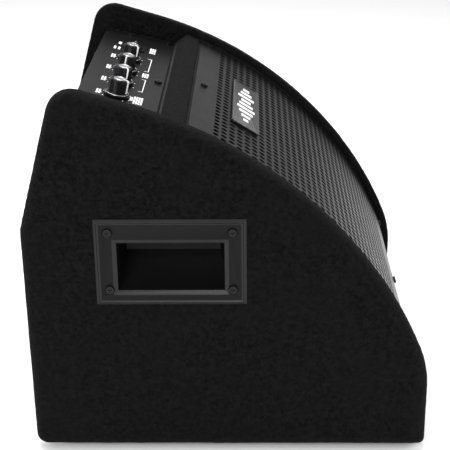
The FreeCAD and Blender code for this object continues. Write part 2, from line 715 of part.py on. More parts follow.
def boards():
    """The plywood box between the side panels."""
    skin, back = sheet("carpet"), BACK_SKIN
    inner_back = plus(BACK_SKIN, sheet("board"))
    floor_top = plus(sheet("carpet"), sheet("board"))
    front_in = minus(sheet("depth"), plus(BODY_SKIN, sheet("board")))

    base = across("bottom_blank", [(inner_back, skin), (front_in, skin), (front_in, floor_top),
                                   (inner_back, floor_top)])
    bolt_hole = cylinder("bottom_bolt_hole", CABINET, (sheet("coil_x"), sheet("coil_y"), skin),
                         sheet("coil_bolt"), sheet("board"))
    keep(cut("bottom_board", base, pilots("bottom_pilot", CABINET, FOOT_SPOTS, PLATE_SCREW, UPSIDE_DOWN)
             + [bolt_hole]))

    keep(across("lower_back_board", [(back, skin), (inner_back, skin), (inner_back, rear_kink(inner_back)),
                                     (back, rear_kink(back))]))

    under = "-" + sheet("panel_plate")
    slope = across("upper_back_blank", [
        (back, rear_kink(back)),
        (inner_back, rear_kink(inner_back)),
        PANEL.point(plus(sheet("carpet"), sheet("board")), under),
        PANEL.point(sheet("carpet"), under)])
    keep(cut("upper_back_board", slope, [service_window("upper_back_window")]
             + pilots("upper_back_pilot", SERVICE, SERVICE_SPOTS, PLATE_SCREW)))

    rail = across("rail_blank", [
        PANEL.point(sheet("rail_ledge"), minus(under, sheet("board"))),
        PANEL.point(sheet("rail_ledge"), under),
        PANEL.point(plus(sheet("panel_depth"), sheet("seam")), under),
        (*bow_point(sheet("rail_back_angle"), BODY_SKIN), bow_arc(BODY_SKIN)),
        bow_point(sheet("grille_seat_angle"), BODY_SKIN),
        bow_point(sheet("grille_seat_angle"), sheet("rail_depth")),
        BAFFLE.point("-" + sheet("baffle_up"), sheet("rail_lap")),
        BAFFLE.point("-" + sheet("baffle_up"), "-" + sheet("board"))])
    keep(cut("rail_board", rail, grille_pilots("rail_grille_pilot")
             + pilots("rail_panel_pilot", PANEL, PANEL_SPOTS, PLATE_SCREW)))

    front = across("front_blank", [
        (front_in, skin),
        (minus(sheet("depth"), BODY_SKIN), skin),
        (*toe_point("0", BODY_SKIN), toe_arc(BODY_SKIN)),
        (*toe_point(TOE_ANGLE, BODY_SKIN), bow_arc(BODY_SKIN)),
        bow_point(sheet("grille_low_seat_angle"), BODY_SKIN),
        bow_point(sheet("grille_low_seat_angle"), sheet("rail_depth")),
        (front_in, minus(sheet("front_board_rise"), times("2", sheet("board"))))])
    keep(cut("lower_front_board", front, grille_pilots("front_grille_pilot")))

    baffle = extrude("baffle_blank", [
        ("-" + sheet("baffle_up"), "-" + sheet("board")), (sheet("baffle_down"), "-" + sheet("board")),
        (sheet("baffle_down"), "0"), ("-" + sheet("baffle_up"), "0")],
        "-(%s)" % HALF_INNER, HALF_INNER, BAFFLE)
    keep(cut("baffle_board", baffle, [woofer_hole("baffle_woofer_hole"), horn_hole("baffle_horn_hole")]
             + pilots("baffle_bolt_pilot", WOOFER, WOOFER_BOLTS, WOOFER_BOLT)
             + pilots("baffle_horn_pilot", HORN, HORN_SPOTS, WOOD_SCREW)))

    cleats = []
    for side in (-1, 1):
        low, high = side_span(side, minus(HALF_INNER, sheet("cleat")), HALF_INNER)
        cleats.append(box("floor_cleat%d" % side, CABINET,
                          (plus(inner_back, "25"), low, floor_top),
                          (minus(front_in, "25"), high, plus(floor_top, sheet("cleat")))))
    for side in (-1, 1):
        low, high = side_span(side, minus(HALF_INNER, sheet("cleat")), HALF_INNER)
        rest = box("panel_cleat%d" % side, PANEL,
                   (plus(sheet("carpet"), sheet("board")), low, minus(under, sheet("board"))),
                   (sheet("rail_ledge"), high, under))
        cleats.append(cut("panel_rest%d" % side, rest,
                          pilots("panel_rest_pilot%d" % side, PANEL, PANEL_SPOTS, PLATE_SCREW)))
    keep(grouped("corner_cleats", cleats))


def carpets():
    """One length of carpet down the back, under the floor and up the front, and a strip on the rail."""
    skin, outer, inner = sheet("carpet"), sheet("rear_recess"), BACK_SKIN
    front = minus(sheet("depth"), sheet("front_inset"))
    front_in = minus(sheet("depth"), BODY_SKIN)
    under = "-" + sheet("panel_plate")

    base = across("bottom_carpet_blank", [(inner, "0"), (front_in, "0"), (front_in, skin), (inner, skin)])
    base = cut("bottom_carpet", base, pilots("bottom_carpet_pilot", CABINET, FOOT_SPOTS, PLATE_SCREW, UPSIDE_DOWN))

    back = across("back_carpet_blank", [
        (outer, "0"), (inner, "0"), (inner, rear_kink(inner)), PANEL.point(skin, under),
        PANEL.point("0", under), (outer, rear_kink(outer))])
    back = cut("back_carpet", back, [service_window("back_carpet_window")]
               + pilots("back_carpet_pilot", SERVICE, SERVICE_SPOTS, PLATE_SCREW))

    crest = sheet("rail_back_angle")
    keep(across("rail_carpet", [
        PANEL.point(plus(sheet("panel_depth"), sheet("seam")), under),
        PANEL.point(plus(sheet("panel_depth"), sheet("seam")), "0"),
        (*bow_point(crest, sheet("front_inset")), bow_arc(sheet("front_inset"))),
        bow_point(sheet("rail_front_angle"), sheet("front_inset")),
        (*bow_point(sheet("rail_front_angle"), BODY_SKIN), bow_arc(BODY_SKIN)),
        bow_point(crest, BODY_SKIN)]))

    toe = across("front_carpet", [
        (front_in, "0"),
        (front, "0"),
        (*toe_point("0", sheet("front_inset")), toe_arc(sheet("front_inset"))),
        toe_point(sheet("toe_carpet_angle"), sheet("front_inset")),
        (*toe_point(sheet("toe_carpet_angle"), BODY_SKIN), toe_arc(BODY_SKIN)),
        toe_point("0", BODY_SKIN)])
    keep(joined("wrap_carpet", [base, back, toe]))


def feet():
    """Four rubber feet, each with its screw in a recess."""
    items = []
    for index, (x, y, z) in enumerate(FOOT_SPOTS):
        pad = cylinder("foot_pad%d" % index, CABINET, (x, y, "-" + sheet("foot_height")),
                       sheet("foot_radius"), sheet("foot_height"))
        bore = cylinder("foot_bore%d" % index, CABINET, (x, y, "-" + sheet("foot_height")),
                        sheet("cap_screw"), sheet("foot_height"))
        recess = cylinder("foot_recess%d" % index, CABINET, (x, y, "-" + sheet("foot_height")),
                          plus(sheet("cap_head"), sheet("panel_gap")),
                          minus(sheet("foot_height"), sheet("foot_recess")))
        items.append(cut("foot%d" % index, pad, [bore, recess]))
    keep(grouped("rubber_feet", items))
    PLATE_SCREWS.extend(screws("foot_screw", CABINET, FOOT_SPOTS, PLATE_SCREW, UPSIDE_DOWN))


# ---- grille and badge ----------------------------------------------------------------------------

def shell_corners(top, near, far):
    """A curved sheet that follows the front, from a bow angle down to the lower edge of the grille."""
    end = sheet("grille_end_angle")
    return [
        (*bow_point(top, near), bow_arc(near)),
        (*toe_point(TOE_ANGLE, near), toe_arc(near)),
        toe_point(end, near),
        (*toe_point(end, far), toe_arc(far)),
        (*toe_point(TOE_ANGLE, far), bow_arc(far)),
        bow_point(top, far),
    ]


def grille():
    """The curved steel sheet, its felt strips and its screws."""
    outside = sheet("front_inset")
    inside = plus(sheet("front_inset"), sheet("grille_sheet"))
    reach = minus(HALF_LINED, sheet("panel_gap"))
    sheet_body = across("grille_blank", shell_corners(sheet("grille_top_angle"), outside, inside), reach)
    keep(cut("grille", sheet_body, grille_pilots("grille_pilot")))

    near, far = inside, BODY_SKIN
    upper = across("felt_upper_blank", [
        (*bow_point(sheet("grille_top_angle"), near), bow_arc(near)),
        bow_point(sheet("grille_seat_angle"), near),
        (*bow_point(sheet("grille_seat_angle"), far), bow_arc(far)),
        bow_point(sheet("grille_top_angle"), far)], reach)
    lower = across("felt_lower_blank", shell_corners(sheet("grille_low_seat_angle"), near, far), reach)
    strips = [cut("felt_upper", upper, grille_pilots("felt_upper_pilot")),
              cut("felt_lower", lower, grille_pilots("felt_lower_pilot"))]
    keep(grouped("grille_felt", strips))

    for index, (frame, spots) in enumerate(GRILLE_SPOTS):
        PLATE_SCREWS.extend(screws("grille_screw%d" % index, frame, spots, PLATE_SCREW))


def badge():
    """A plate on the grille with a raised row of level bars on it."""
    x, z = bow_point(sheet("badge_angle"), sheet("front_inset"))
    frame = Frame(x, z, minus("90", sheet("badge_angle")))
    reach, tall = half(sheet("badge_width")), half(sheet("badge_height"))
    body = extrude("badge_blank", [("-" + tall, "-" + reach), (tall, "-" + reach), (tall, reach),
                                   ("-" + tall, reach)],
                   "0", sheet("badge_plate"), frame, "XY_Plane")
    dress(body, "Fillet", sheet("badge_corner"), stands_up)

    bars = []
    for index, share in enumerate(BAR_SHARES):
        centre = times(minus(str(index), str((len(BAR_SHARES) - 1) / 2)), sheet("bar_pitch"))
        length = times(str(share), sheet("bar_length"))
        bars.append(box("badge_bar%d" % index, frame,
                        (minus(half(sheet("bar_length")), length), minus(centre, half(sheet("bar_width"))),
                         sheet("badge_plate")),
                        (half(sheet("bar_length")), plus(centre, half(sheet("bar_width"))),
                         plus(sheet("badge_plate"), sheet("bar_rise")))))
    keep(joined("badge_plate", [body] + bars))


BAR_SHARES = (0.35, 0.6, 0.85, 1.0, 0.7, 0.9, 0.5, 0.75, 0.4)


def stands_up(edge):
    """True for an edge along Z."""
    box_ = edge.BoundBox
    return box_.ZLength > 0.1 and box_.XLength < 0.01 and box_.YLength < 0.01


# ---- loudspeakers --------------------------------------------------------------------------------

WOOFER_BOLT = "24"
WOOFER_BOLTS = [(times(sheet("woofer_bolt_circle"), cosine(str(angle))),
                 times(sheet("woofer_bolt_circle"), sine(str(angle))), sheet("basket_sheet"))
                for angle in (22.5 + 45 * step for step in range(8))]
HORN_SPOTS = [(x, y, sheet("horn_plate")) for x in ("-sizes.horn_screw_x", "sizes.horn_screw_x")
              for y in ("-sizes.horn_screw_y", "sizes.horn_screw_y")]


def woofer_hole(name):
    return cylinder(name, WOOFER, ("0", "0", "-" + times(2, sheet("board"))), sheet("woofer_cutout"),
                    times(3, sheet("board")))


def horn_hole(name):
    reach, tall = minus(half(sheet("horn_width")), "12"), minus(half(sheet("horn_height")), "5")
    return box(name, HORN, ("-(%s)" % tall, "-(%s)" % reach, "-" + times(2, sheet("board"))),
               (tall, reach, sheet("board")))


def woofer():
    """Basket, motor and moving parts, all turned about the axis of the woofer."""
    skin = sheet("basket_sheet")
    rim, lip = sheet("woofer_radius"), minus(sheet("woofer_cutout"), sheet("basket_gap"))
    shelf = "-" + sheet("spider_depth")
    floor = "-" + sheet("basket_depth")
    hub = sheet("basket_hub")
    basket = turn("basket_blank", [
        (rim, "0"), (rim, skin), (sheet("surround_radius"), skin),
        (sheet("surround_radius"), "-" + sheet("basket_lip")),
        (sheet("spider_radius"), shelf), (minus(sheet("spider_radius"), sheet("spider_seat")), shelf),
        (minus(sheet("spider_radius"), sheet("spider_seat")), plus(floor, skin)), (hub, plus(floor, skin)),
        (hub, floor), (sheet("spider_radius"), floor), (lip, "-" + sheet("basket_lip")), (lip, "0")], WOOFER)
    windows = []
    for index in range(6):
        window = box("basket_window%d" % index, WOOFER,
                     (sheet("spider_radius"), "-" + sheet("window_half"), plus(shelf, "4")),
                     (rim, sheet("window_half"), "-" + plus(sheet("basket_lip"), "6")))
        spin = Rotation(Vector(0, 0, 1), 60 * index)
        offset = spin.multVec(Vector(number(sheet("spider_radius")), -number(sheet("window_half")), 0))
        WOOFER.place(window, "%.4f" % offset.x, "%.4f" % offset.y, plus(shelf, "4"), spin)
        windows.append(window)
    keep(cut("woofer_basket", basket, windows + pilots("basket_pilot", WOOFER, WOOFER_BOLTS, WOOFER_BOLT)))

    coil, wall, gap = sheet("coil_radius"), sheet("coil_wall"), sheet("coil_gap")
    plate_low = minus(floor, sheet("front_plate"))
    magnet_low = minus(plate_low, sheet("magnet_height"))
    back_low = minus(magnet_low, sheet("front_plate"))
    bore = plus(coil, wall, gap)
    front_ring = turn("woofer_front_plate", [
        (bore, plate_low), (minus(sheet("magnet_radius"), "6"), plate_low), (minus(sheet("magnet_radius"), "6"), floor),
        (bore, floor)], WOOFER)
    keep(turn("woofer_magnet", [
        (plus(bore, "10"), magnet_low), (sheet("magnet_radius"), magnet_low),
        (sheet("magnet_radius"), plate_low), (plus(bore, "10"), plate_low)], WOOFER))
    pole = minus(coil, gap)
    back_disc = turn("woofer_back_plate", [
        (sheet("vent_radius"), back_low), (minus(sheet("magnet_radius"), "4"), back_low),
        (minus(sheet("magnet_radius"), "4"), magnet_low), (pole, magnet_low), (pole, floor),
        (sheet("vent_radius"), floor)], WOOFER)
    keep(grouped("woofer_pole_plates", [front_ring, back_disc]))

    neck = "-" + sheet("neck_depth")
    edge = "-" + sheet("cone_edge_drop")
    paper = sheet("cone_paper")
    keep(turn("voice_coil", [
        (coil, plus(magnet_low, "8")), (plus(coil, wall), plus(magnet_low, "8")), (plus(coil, wall), neck),
        (coil, neck)], WOOFER))
    keep(turn("woofer_cone", [
        (plus(coil, wall), neck), (sheet("cone_radius"), edge), (sheet("cone_radius"), plus(edge, paper)),
        (plus(coil, wall), plus(neck, paper))], WOOFER))
    slope = "(%s) / (%s)" % (minus(sheet("neck_depth"), sheet("cone_edge_drop")),
                             minus(sheet("cone_radius"), plus(coil, wall)))
    cap_low = plus(neck, paper, times(slope, minus(sheet("cap_radius"), plus(coil, wall))))
    keep(turn("dust_cap", dome_corners(sheet("cap_radius"), cap_low, sheet("cap_rise"), paper), WOOFER))
    hole = plus(coil, wall, sheet("glue_gap"))
    keep(turn("woofer_spider", [
        (hole, shelf), (sheet("spider_radius"), shelf), (sheet("spider_radius"), plus(shelf, paper)),
        (hole, plus(shelf, paper))], WOOFER))
    keep(turn("woofer_surround", roll_corners(plus(sheet("cone_radius"), sheet("glue_gap")),
                                              sheet("surround_radius"), plus(edge, paper), paper), WOOFER))
    near = plus(sheet("surround_radius"), sheet("gasket_gap"))
    far = minus(sheet("woofer_bolt_circle"), plus(sheet("cap_head"), sheet("gasket_gap")))
    top = plus(skin, sheet("gasket_height"))
    keep(turn("woofer_gasket", [(near, skin), (far, skin), (far, top), (near, top)], WOOFER))
    keep(grouped("woofer_bolts", screws("woofer_bolt", WOOFER, WOOFER_BOLTS, WOOFER_BOLT)))


def dome_corners(radius, low, rise, thick):
    """The half section of a thin dome that stands on a ring."""
    ball = "((%s)^2 + (%s)^2) / (2 * (%s))" % (radius, rise, rise)
    centre = minus(plus(low, rise), ball)
    inner = "sqrt(((%s) - (%s))^2 - ((%s) - (%s))^2)" % (ball, thick, ball, rise)
    return [
        (radius, low, ("arc", ball, "0", centre)),
        ("0", plus(low, rise)),
        ("0", minus(plus(low, rise), thick), ("arc", minus(ball, thick), "0", centre)),
        (inner, low),
    ]


def roll_corners(inner, outer, level, thick):
    """The half section of a half-roll ring between two radii."""
    roll = half(minus(outer, inner))
    middle = plus(inner, roll)
    near = minus(roll, thick)
    return [
        (inner, level, ("arc", roll, middle, level)),
        (middle, plus(level, roll), ("arc", roll, middle, level)),
        (outer, level),
        (minus(outer, thick), level, ("arc", near, middle, level)),
        (middle, plus(level, near), ("arc", near, middle, level)),
        (plus(inner, thick), level),
    ]


def rectangle(x, y):
    """The corners of a rectangle about the origin, from its half sizes."""
    return [("-(%s)" % x, "-(%s)" % y), (x, "-(%s)" % y), (x, y), ("-(%s)" % x, y)]


def loft(body, kind, name, sections):
    """A loft between outlines at different heights. A section is (corners, height)."""
    sketches = []
    for corners, height in sections:
        sketch = new_sketch(body, "XY_Plane", height)
        add_outline(sketch, corners)
        sketch.Visibility = False
        sketches.append(sketch)
    feature = body.newObject("PartDesign::%sLoft" % kind, name)
    feature.Profile = sketches[0]
    feature.Sections = sketches[1:]
    feature.Ruled = True
    return feature


def horn():
    """Tweeter horn with a rectangular mouth, its driver and its screws."""
    plate, wall = sheet("horn_plate"), sheet("horn_wall")
    mouth = (minus(half(sheet("horn_height")), "8"), minus(half(sheet("horn_width")), "15"))
    throat = (sheet("horn_throat"), sheet("horn_throat"))
    deep = "-" + sheet("horn_depth")
    body = extrude("horn_blank", rectangle(half(sheet("horn_height")), half(sheet("horn_width"))),
                   "0", plate, HORN, "XY_Plane")
    loft(body, "Additive", "horn_outside", [(rectangle(*(plus(size, wall) for size in mouth)), "0"),
                                            (rectangle(*(plus(size, wall) for size in throat)), deep)])
    loft(body, "Subtractive", "horn_inside", [(rectangle(*mouth), plate), (rectangle(*throat), deep)])
    keep(cut("tweeter_horn", body, pilots("horn_pilot", HORN, HORN_SPOTS, WOOD_SCREW)))
    keep(turn("tweeter_driver", [
        ("0", minus(deep, sheet("driver_height"))), (sheet("driver_radius"), minus(deep, sheet("driver_height"))),
        (sheet("driver_radius"), minus(deep, "4")), (plus(throat[0], wall, "4"), deep), ("0", deep)], HORN))
    WOOD_SCREWS.extend(screws("horn_screw", HORN, HORN_SPOTS, WOOD_SCREW))


# ---- control panel -------------------------------------------------------------------------------

KNOBS = ("volume", "bass", "middle", "treble")
POINTERS = (-20, -60, -100, -45)
JACKS = ("first", "second")
PANEL_NUTS = []


def knob_y(index):
    return plus(sheet("knob_first"), times(str(index), sheet("knob_pitch")))


def jack_y(index):
    return plus(sheet("jack_first"), times(str(index), sheet("jack_pitch")))


def control_panel():
    """The steel plate with its holes, and its screws."""
    reach = minus(HALF_LINED, sheet("panel_gap"))
    row = sheet("knob_row")
    under = "-" + sheet("panel_plate")
    blank = box("panel_blank", PANEL, ("0", "-(%s)" % reach, under), (sheet("panel_depth"), reach, "0"))
    low = "-" + times(2, sheet("panel_plate"))
    through = times(3, sheet("panel_plate"))
    tools = pilots("panel_pilot", PANEL, PANEL_SPOTS, PLATE_SCREW)
    for index in range(len(KNOBS)):
        tools.append(cylinder("panel_bush_hole%d" % index, PANEL, (row, knob_y(index), low),
                              sheet("bush_radius"), through))
    for index in range(len(JACKS)):
        tools.append(cylinder("panel_jack_hole%d" % index, PANEL, (row, jack_y(index), low),
                              sheet("jack_barrel"), through))
    tools.append(cylinder("panel_lamp_hole", PANEL, (row, sheet("lamp_y"), low), sheet("lamp_radius"), through))
    tools.append(switch_block("panel_switch_hole", sheet("switch_wall"), low, plus(low, through)))
    keep(cut("control_panel", blank, tools))
    PLATE_SCREWS.extend(screws("panel_screw", PANEL, PANEL_SPOTS, PLATE_SCREW))


def hexagon(name, frame, spot, radius, height):
    nut = doc.addObject("Part::Prism", name)
    nut.Polygon = 6
    bind(nut, "Circumradius", radius)
    bind(nut, "Height", height)
    return frame.place(nut, *spot)


def potentiometers():
    """Four potentiometers under the panel, their nuts, and the circuit board that they stand on."""
    row, plate = sheet("knob_row"), sheet("panel_plate")
    floor = "-(%s)" % plus(plate, sheet("pot_drop"))
    cans, nuts = [], []
    for index in range(len(KNOBS)):
        place = (row, knob_y(index))
        can = cylinder("pot_can%d" % index, PANEL, (*place, floor), sheet("pot_radius"), sheet("pot_drop"))
        bush = cylinder("pot_bush%d" % index, PANEL, (*place, "-" + plate), sheet("bush_radius"),
                        plus(plate, sheet("bush_height")))
        bore = cylinder("pot_bore%d" % index, PANEL, (*place, "-" + sheet("shaft_depth")),
                        plus(sheet("shaft_radius"), sheet("shaft_clearance")),
                        plus(sheet("shaft_depth"), sheet("bush_height")))
        cans.append(cut("pot%d" % index, joined("pot_blank%d" % index, [can, bush]), [bore]))
        nut = hexagon("pot_nut_blank%d" % index, PANEL, (*place, "0"), sheet("nut_radius"), sheet("nut_height"))
        thread = cylinder("pot_nut_thread%d" % index, PANEL, (*place, "0"), sheet("bush_radius"),
                          sheet("nut_height"))
        nuts.append(cut("pot_nut%d" % index, nut, [thread]))
    keep(grouped("potentiometers", cans))
    PANEL_NUTS.extend(nuts)
    board_low = minus(floor, sheet("circuit_sheet"))
    keep(labelled("circuit_board", box("circuit_board", PANEL, (
        plus(sheet("carpet"), sheet("board"), sheet("circuit_gap")), minus(knob_y(0), sheet("circuit_side")),
        board_low),
        (plus(row, sheet("circuit_half")), plus(knob_y(len(KNOBS) - 1), sheet("circuit_side")), floor))))


def labelled(label, item):
    item.Label = label
    return item


def knobs():
    """Four fluted knobs, each pressed on its own shaft."""
    base, top, inside = "0.8", sheet("knob_height"), sheet("knob_hollow")
    grip, bore = sheet("knob_radius"), sheet("shaft_radius")
    hollow_top, bore_top = "7", minus(top, "3")
    for index, name in enumerate(KNOBS):
        spot = (sheet("knob_row"), knob_y(index), "0")
        body = turn(name + "_knob_blank", [
            ("0", bore_top), (bore, bore_top), (bore, hollow_top), (inside, hollow_top), (inside, base),
            (sheet("knob_skirt"), base), (sheet("knob_skirt"), "2.6"), (plus(grip, "0.6"), "4.6"), (grip, top),
            ("0", top)], ORIGIN)
        flutes = []
        for step in range(FLUTES):
            angle = str(360 * (step + 0.5) / FLUTES)
            flutes.append(cylinder("%s_flute%d" % (name, step), ORIGIN, (
                times(plus(grip, "0.5"), cosine(angle)), times(plus(grip, "0.5"), sine(angle)), "5.5"),
                sheet("flute_radius"), top))
        flutes.append(box(name + "_pointer", ORIGIN, (times("0.45", grip), "-0.5", minus(top, "0.6")),
                          (plus(grip, "2"), "0.5", plus(top, "1"))))
        turned = Rotation(Vector(0, 0, 1), POINTERS[index])
        keep(PANEL.place(cut(name + "_knob", body, flutes), *spot, spin=turned))
        keep(labelled(name + "_shaft", cylinder(
            name + "_shaft", PANEL, (spot[0], spot[1], "-" + sheet("shaft_depth")), bore,
            plus(sheet("shaft_depth"), bore_top))))


FLUTES = 14


def jacks():
    """Two input jacks, each with a ring nut."""
    row, plate = sheet("knob_row"), sheet("panel_plate")
    bodies, nuts = [], []
    for index, name in enumerate(JACKS):
        place = (row, jack_y(index))
        case = box("jack_case%d" % index, PANEL, (
            minus(row, sheet("jack_half")), minus(jack_y(index), sheet("jack_half")), "-" + sheet("jack_depth")),
            (plus(row, sheet("jack_half")), plus(jack_y(index), sheet("jack_half")), "-" + plate))
        barrel = cylinder("jack_barrel%d" % index, PANEL, (*place, "-" + plate), sheet("jack_barrel"),
                          plus(plate, sheet("jack_rise")))
        bore = cylinder("jack_bore%d" % index, PANEL, (*place, minus("2", sheet("jack_depth"))),
                        sheet("jack_bore"), sheet("jack_depth") + " * 2")
        bodies.append(cut("jack%d" % index, joined("jack_blank%d" % index, [case, barrel]), [bore]))
        nut = hexagon("jack_nut_blank%d" % index, PANEL, (*place, "0"), sheet("jack_nut"), sheet("nut_height"))
        thread = cylinder("jack_nut_thread%d" % index, PANEL, (*place, "0"), sheet("jack_barrel"),
                          sheet("nut_height"))
        nuts.append(cut("jack_nut%d" % index, nut, [thread]))
    keep(grouped("input_jacks", bodies))
    PANEL_NUTS.extend(nuts)


def switch_block(name, wall, low, high):
    """A block as big as the switch opening, less a margin that grows with a negative wall."""
    reach_x = plus(half(sheet("rocker_length")), wall)
    reach_y = plus(half(sheet("rocker_width")), wall)
    return box(name, PANEL, (minus(sheet("knob_row"), reach_x), minus(sheet("rocker_y"), reach_y), low),
               (plus(sheet("knob_row"), reach_x), plus(sheet("rocker_y"), reach_y), high))


def power_switch():
    """Rocker, its pin and its housing, and the lamp beside it."""
    rise = sheet("bezel_rise")
    case = switch_block("switch_case", sheet("switch_wall"), "-" + sheet("switch_depth"), rise)
    rim = switch_block("switch_rim", plus(sheet("switch_wall"), "2"), "0", rise)
    pocket = switch_block("switch_pocket", "0", "-" + minus(sheet("switch_depth"), "3"), plus(rise, "1"))
    x, z = PANEL.point(sheet("knob_row"), "-" + sheet("pivot_depth"))
    pivot = Frame(x, z, plus(sheet("panel_slope"), half(sheet("rocker_swing"))))
    along = Rotation(Vector(1, 0, 0), -90)
    reach = plus(half(sheet("rocker_width")), sheet("switch_wall"))
    start = ("0", minus(sheet("rocker_y"), reach), "0")
    keep(cut("switch_housing", joined("switch_shell", [case, rim]), [
        pocket, cylinder("switch_pin_hole", pivot, start, sheet("pin_radius"), times(2, reach), along)]))
    keep(labelled("switch_pin", cylinder("switch_pin", pivot, start, sheet("pin_radius"), times(2, reach), along)))

    side, tip = "7.6", "6"
    width = minus(half(sheet("rocker_width")), "0.35")
    cap = extrude("rocker_blank", [("-5.5", "-2.5"), ("0", "-4.5"), ("5.5", "-2.5"), (side, tip), ("0", "4.6"),
                                   ("-" + side, tip)],
                  minus(sheet("rocker_y"), width), plus(sheet("rocker_y"), width), pivot)
    keep(cut("power_rocker", cap, [cylinder(
        "rocker_bore", pivot, start, plus(sheet("pin_radius"), sheet("shaft_clearance")), times(2, reach), along)]))
    keep(turn("power_lamp", [
        ("0", "-6"), (sheet("lamp_radius"), "-6"), (sheet("lamp_radius"), "0"),
        (sheet("lamp_radius"), "0.4", ("arc", sheet("lamp_radius"), "0", "0.4")),
        ("0", plus("0.4", sheet("lamp_radius")))], PANEL, sheet("knob_row"), sheet("lamp_y")))


# ---- back plate and power supply -----------------------------------------------------------------

SERVICE_SPOTS = [(x, y, sheet("service_plate")) for x in ("-sizes.service_screw_x", "sizes.service_screw_x")
                 for y in ("-sizes.service_screw_y", "sizes.service_screw_y")]


def service_window(name):
    reach_x, reach_y = minus(sheet("service_screw_x"), "6"), minus(sheet("service_screw_y"), "8")
    return box(name, SERVICE, ("-(%s)" % reach_x, "-(%s)" % reach_y, "-" + times(2, BACK_SKIN)),
               (reach_x, reach_y, "1"))


def service_box(name, y, x_half, y_half, low, high):
    return box(name, SERVICE, ("-(%s)" % x_half, minus(y, y_half), low), (x_half, plus(y, y_half), high))


def service_panel():
    """Aluminium plate on the upper back with inlet, fuse and heat sink."""
    plate = sheet("service_plate")
    half_x, half_y = half(sheet("service_length")), half(sheet("service_width"))
    inlet_y, fuse_y = sheet("inlet_y"), sheet("fuse_y")
    blank = service_box("service_blank", "0", half_x, half_y, "0", plate)
    keep(cut("service_panel", blank, [
        service_box("service_inlet_hole", inlet_y, sheet("inlet_half_x"), sheet("inlet_half_y"), "-1", "10"),
        cylinder("service_fuse_hole", SERVICE, ("0", fuse_y, "-1"), sheet("fuse_radius"), "10")]
        + pilots("service_pilot", SERVICE, SERVICE_SPOTS, PLATE_SCREW)))
    PLATE_SCREWS.extend(screws("service_screw", SERVICE, SERVICE_SPOTS, PLATE_SCREW))

    flange = plus(plate, "2")
    shell = joined("inlet_blank", [
        service_box("inlet_case", inlet_y, sheet("inlet_half_x"), sheet("inlet_half_y"), "-22", plate),
        service_box("inlet_flange", inlet_y, plus(sheet("inlet_half_x"), "2.5"),
                    plus(sheet("inlet_half_y"), "10"), plate, flange)])
    socket = cut("inlet_socket", shell, [service_box("inlet_cavity", inlet_y, minus(sheet("inlet_half_x"), "1.8"),
                                                minus(sheet("inlet_half_y"), "1.8"), "-16", plus(flange, "1"))])
    pins = [box("inlet_pin%d" % index, SERVICE,
                (minus(x, "2"), minus(plus(inlet_y, y), "1"), "-16"), (plus(x, "2"), plus(inlet_y, y, "1"), "-6"))
            for index, (x, y) in enumerate((("-2", "-7"), ("2", "0"), ("-2", "7")))]
    keep(grouped("mains_inlet", [socket] + pins))

    holder = joined("fuse_blank", [
        cylinder("fuse_body", SERVICE, ("0", fuse_y, "-26"), sheet("fuse_radius"), plus("26", plate)),
        cylinder("fuse_cap", SERVICE, ("0", fuse_y, plate), plus(sheet("fuse_radius"), "1.5"), "7")])
    keep(labelled("fuse_holder", holder))

    sink_y, sink_half = sheet("sink_y"), sheet("sink_half")
    sink_top = plus(plate, sheet("sink_height"))
    block = box("sink_block", SERVICE, ("-" + sheet("sink_down"), minus(sink_y, sink_half), plate),
                (sheet("sink_up"), plus(sink_y, sink_half), sink_top))
    slots = [service_box("sink_slot%d" % index,
                         plus(sink_y, times(str(index - (SINK_SLOTS - 1) / 2), sheet("sink_pitch"))),
                         half_x, half(sheet("sink_slot")), plus(plate, sheet("sink_floor")), plus(sink_top, "1"))
             for index in range(SINK_SLOTS)]
    keep(cut("heat_sink", block, slots))


SINK_SLOTS = 10


def power_supply():
    """Power board on stand-offs behind the plate, its capacitors, and the transformer on the floor."""
    deep, sheet_low = "-" + sheet("power_depth"), minus("-" + sheet("power_depth"), sheet("circuit_sheet"))
    board = service_box("power_circuit", sheet("power_y"), sheet("power_half_x"), sheet("power_half_y"),
                        sheet_low, deep)
    posts, cans = [], []
    for index, (x, y) in enumerate(((-1, -1), (-1, 1), (1, -1), (1, 1))):
        place = (times(str(x), minus(sheet("power_half_x"), "5")),
                 plus(sheet("power_y"), times(str(y), minus(sheet("power_half_y"), "5"))))
        posts.append(cylinder("post%d" % index, SERVICE, (*place, deep), "3", sheet("power_depth")))
    for index in (-1, 1):
        place = ("6", plus(sheet("power_y"), times(str(index), "15")))
        cans.append(cylinder("capacitor%d" % index, SERVICE, (*place, minus(sheet_low, "30")), "11", "30"))
    keep(grouped("power_board", [board] + cans))
    keep(grouped("board_standoffs", posts))

    floor = plus(sheet("carpet"), sheet("board"))
    spot = (sheet("coil_x"), sheet("coil_y"), floor)
    bolt, tall = sheet("coil_bolt"), sheet("ring_height")
    keep(turn("transformer", [
        (plus(bolt, "8"), "0"), (minus(sheet("ring_radius"), "8"), "0"), (sheet("ring_radius"), "8"),
        (sheet("ring_radius"), minus(tall, "8")), (minus(sheet("ring_radius"), "8"), tall),
        (plus(bolt, "8"), tall)], CABINET, *spot))
    keep(turn("transformer_clamp", [
        ("0", "-12"), (bolt, "-12"), (bolt, tall), (plus(bolt, "20"), tall), (plus(bolt, "20"), plus(tall, "2")),
        (times(2, bolt), plus(tall, "2")), (times(2, bolt), plus(tall, "6")), ("0", plus(tall, "6"))],
        CABINET, *spot))


